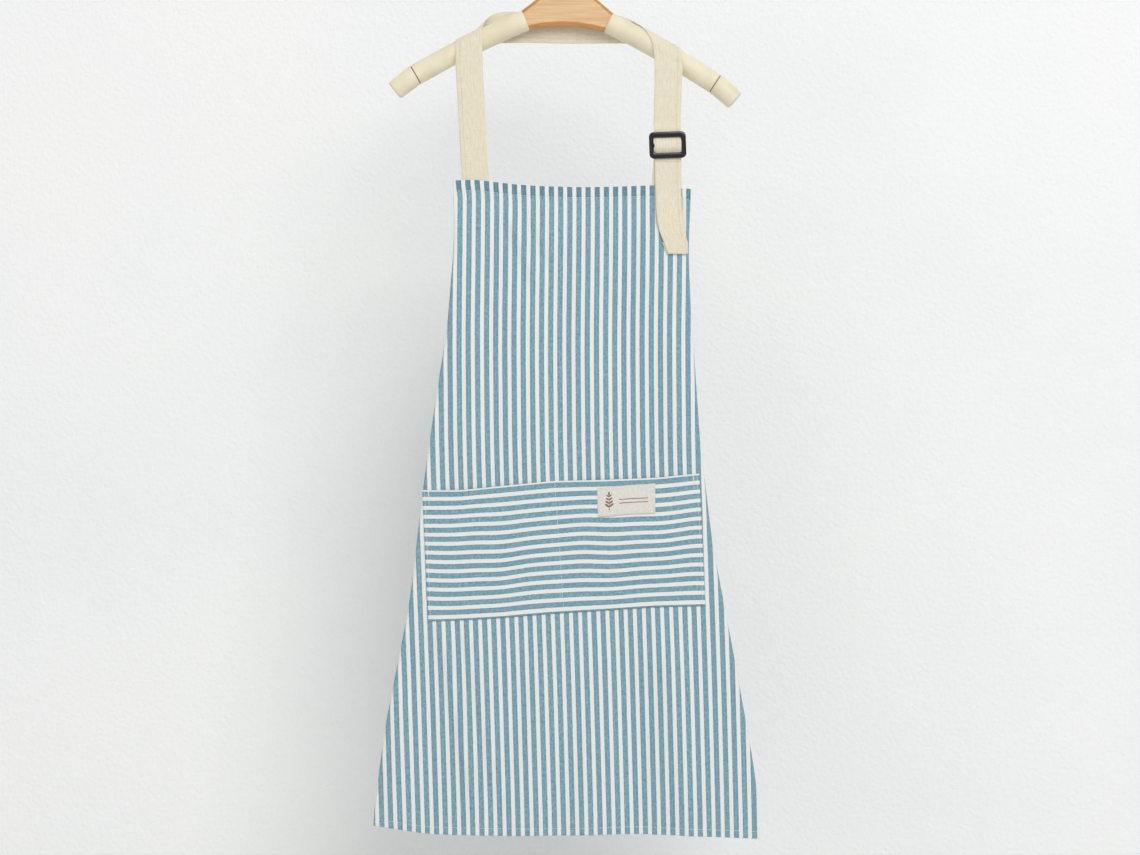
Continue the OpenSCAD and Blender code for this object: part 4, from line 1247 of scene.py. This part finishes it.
def tieBand(name, pairs, step, soften, crosswise=False):
    # a band of the tie cloth; crosswise turns its stripes to run across it
    points, flat = ribbon(pairs, step, soften, 11)
    if crosswise:
        flat = flat[..., ::-1]
    band = makePiece(name, clothShell(points, flat, tie["thickness"]), tieCotton)
    belongs(band, "apron", "striped_cotton")
    return band


for side, sideName, layer in zip((-1, 1), ("left", "right"), tie["layers"]):
    knot = tie["knotZ"]
    sewnPairs = [(side * x, layer + y, knot + half, side * x, layer + y, knot - half)
                 for x, y, half in tie["lead"]]
    lead = tieBand(sideName + "TieLead", sewnPairs, 1.0, 4.0, True)
    # the end: spreads from the knot, leans outward and sways
    down = np.linspace(0, 1, 15)
    outward = 3 + 11.5 * eased(down * 8) + down * tie["tailLength"] * math.tan(math.radians(tie["tailLean"]))
    middle = (side * outward + 3 * np.sin(down * 7 + side),
              -8.0 - 2.0 * eased(down * 5) + 1.6 * np.sin(down * 11 + side),
              knot - 6 - down * (tie["tailLength"] - 8))
    twist = 0.9 * np.sin(down * 6 + side * 0.7)
    spread = 0.45 + 0.55 * eased(down * 9)
    hanging = tieBand(sideName + "WaistTie", acrossMiddle(
        middle, (tie["width"] / 2 * spread, -twist, -side * down * 2)
    ), 2.5, 10.0)
    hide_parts(sideName + "_waist_tie")
    # the loop: out from the knot and back, reach = sin(pi run)^0.75, bending down with its reach
    droop = math.radians(tie["droop"])
    run = np.linspace(0, 1, 25)
    arc = np.sin(run * np.pi) ** 0.75
    reach = 5 + (tie["loopLength"] - 8) * arc
    wide = tie["loopRoot"] + (tie["width"] / 2 - tie["loopRoot"]) * eased(reach / 62)
    bend = droop + tie["loopCurl"] * (reach / tie["loopLength"]) ** 2
    middle = (side * reach * np.cos(droop + bend * 0.2),
              -6.4 - 3.4 * np.cos(run * np.pi) * (0.35 + 0.65 * arc),
              knot - reach * np.sin(droop * 0.55 + bend * 0.5))
    loop = tieBand(sideName + "BowLoop", acrossMiddle(
        middle, (-side * wide * np.sin(bend), 0 * run, -wide * np.cos(bend))
    ), 1.5, 4.0)

# The knot: a creased ellipsoid, radius sin(over)^0.55 times 1 + crease sin(5 around + 2 cos(over))
around, over = np.meshgrid(np.linspace(0, 2 * np.pi, 49)[:-1], np.linspace(0.02, np.pi - 0.02, 25))
wide, deep, tall = tie["knot"]
bulge = np.sin(over) ** 0.55
bulge = bulge * (1 + tie["knotCrease"] * np.sin(5 * around + 2 * np.cos(over)) * bulge)
knotRings = np.stack([
    wide * np.cos(around) * bulge, tie["knotY"] + deep * np.sin(around) * bulge,
    tie["knotZ"] + tall * np.cos(over),
], axis=-1) * mm
spine = knotRings.mean(axis=1)
knotSection = (knotRings - spine[:, None])[..., :2]
knotShape = tube(spine, each([1, 0, 0], spine), each([0, 1, 0], spine), knotSection)
knotFlat = np.stack([wide * around, tall * over], axis=-1).reshape(-1, 2) * mm
knotFlat = np.vstack([knotFlat, [[0, 0], [0, tall * np.pi * mm]]])
bowKnot = makePiece("bowKnot", (knotShape[0], knotShape[1], knotFlat, knotShape[3]), tieCotton)
belongs(bowKnot, "apron", "striped_cotton", "tie_bow")
print("ties made")
stage = {"wallBack": 0.31, "wallTop": 2.0, "floor": -1.36, "size": 6.0}


def flatStage(name, corners, material):
    mesh = bpy.data.meshes.new(name)
    mesh.from_pydata(corners, [], [(0, 1, 2, 3)])
    made = bpy.data.objects.new(name, mesh)
    bpy.context.scene.collection.objects.link(made)
    made.data.materials.append(material)
    return made


wallPaint, tree, shader = startMaterial("wallPaint", Roughness=0.9, Specular_IOR_Level=0.1)
place = addNode(tree, "TexCoord").outputs["Object"]
patchy = speckle(tree, place, 1.6, 3.0)
tree.links.new(blendTones(tree, between(tree, patchy, 0.3, 0.7), tone(245, 246, 246), tone(250, 250, 248)),
               shader.inputs["Base Color"])
addBump(tree, shader, speckle(tree, place, 165.0, 4.0, 0.6), 0.7, 2.6 * mm)
clear = addNode(tree, "BsdfTransparent").outputs[0]
facing = addNode(tree, "NewGeometry").outputs["Backfacing"]
shown = addNode(tree, "MixShader", in0=facing, in1=shader.outputs[0], in2=clear)
tree.links.new(shown.outputs[0], tree.nodes["Material Output"].inputs["Surface"])
floorPaint = plainSurface("floorPaint", (226, 226, 225), (232, 232, 231), 200, 3, 0.1, 0.2,
                          {"Roughness": 0.85})
reach = stage["size"] / 2
back, low, high = stage["wallBack"], stage["floor"], stage["wallTop"]
ends = (-reach, reach, reach, -reach)
flatStage("wall", [(x, back, z) for x, z in zip(ends, (low, low, high, high))], wallPaint)
flatStage("floor", [(x, y, low) for x, y in zip(ends, (-reach, -reach, reach, reach))], floorPaint)

lights = [
    ("keyLight", (1.5, -3.8, 2.1), 3.0, 118.0), ("fillLight", (-2.6, -3.2, 0.3), 3.0, 18.0),
    ("backLight", (0.6, 2.6, 0.6), 2.4, 26.0),
]
for name, spot, size, power in lights:
    data = bpy.data.lights.new(name, "AREA")
    data.size = size
    data.energy = power
    lamp = bpy.data.objects.new(name, data)
    bpy.context.scene.collection.objects.link(lamp)
    lamp.location = spot
    aim = np.array([0.0, 0.0, -0.65]) - np.array(spot)
    down = math.atan2(math.hypot(aim[0], aim[1]), -aim[2])
    lamp.rotation_euler = (down, 0, math.atan2(aim[0], -aim[1]) + math.pi)
world = bpy.data.worlds.new("room")
bpy.context.scene.world = world
world.use_nodes = True
world.node_tree.nodes["Background"].inputs[0].default_value = (0.97, 0.985, 1.0, 1.0)
world.node_tree.nodes["Background"].inputs[1].default_value = 0.5

camera = {"place": (0.0, -3.02, -0.634), "lens": 75.8}
cameraData = bpy.data.cameras.new("camera")
cameraData.lens = camera["lens"]
cameraData.sensor_width = 36.0
cameraData.clip_end = 30.0
cameraObject = bpy.data.objects.new("camera", cameraData)
bpy.context.scene.collection.objects.link(cameraObject)
cameraObject.location = camera["place"]
cameraObject.rotation_euler = (math.pi / 2, 0, 0)
bpy.context.scene.camera = cameraObject
bpy.context.scene.view_settings.view_transform = "Standard"

print("scene ready")
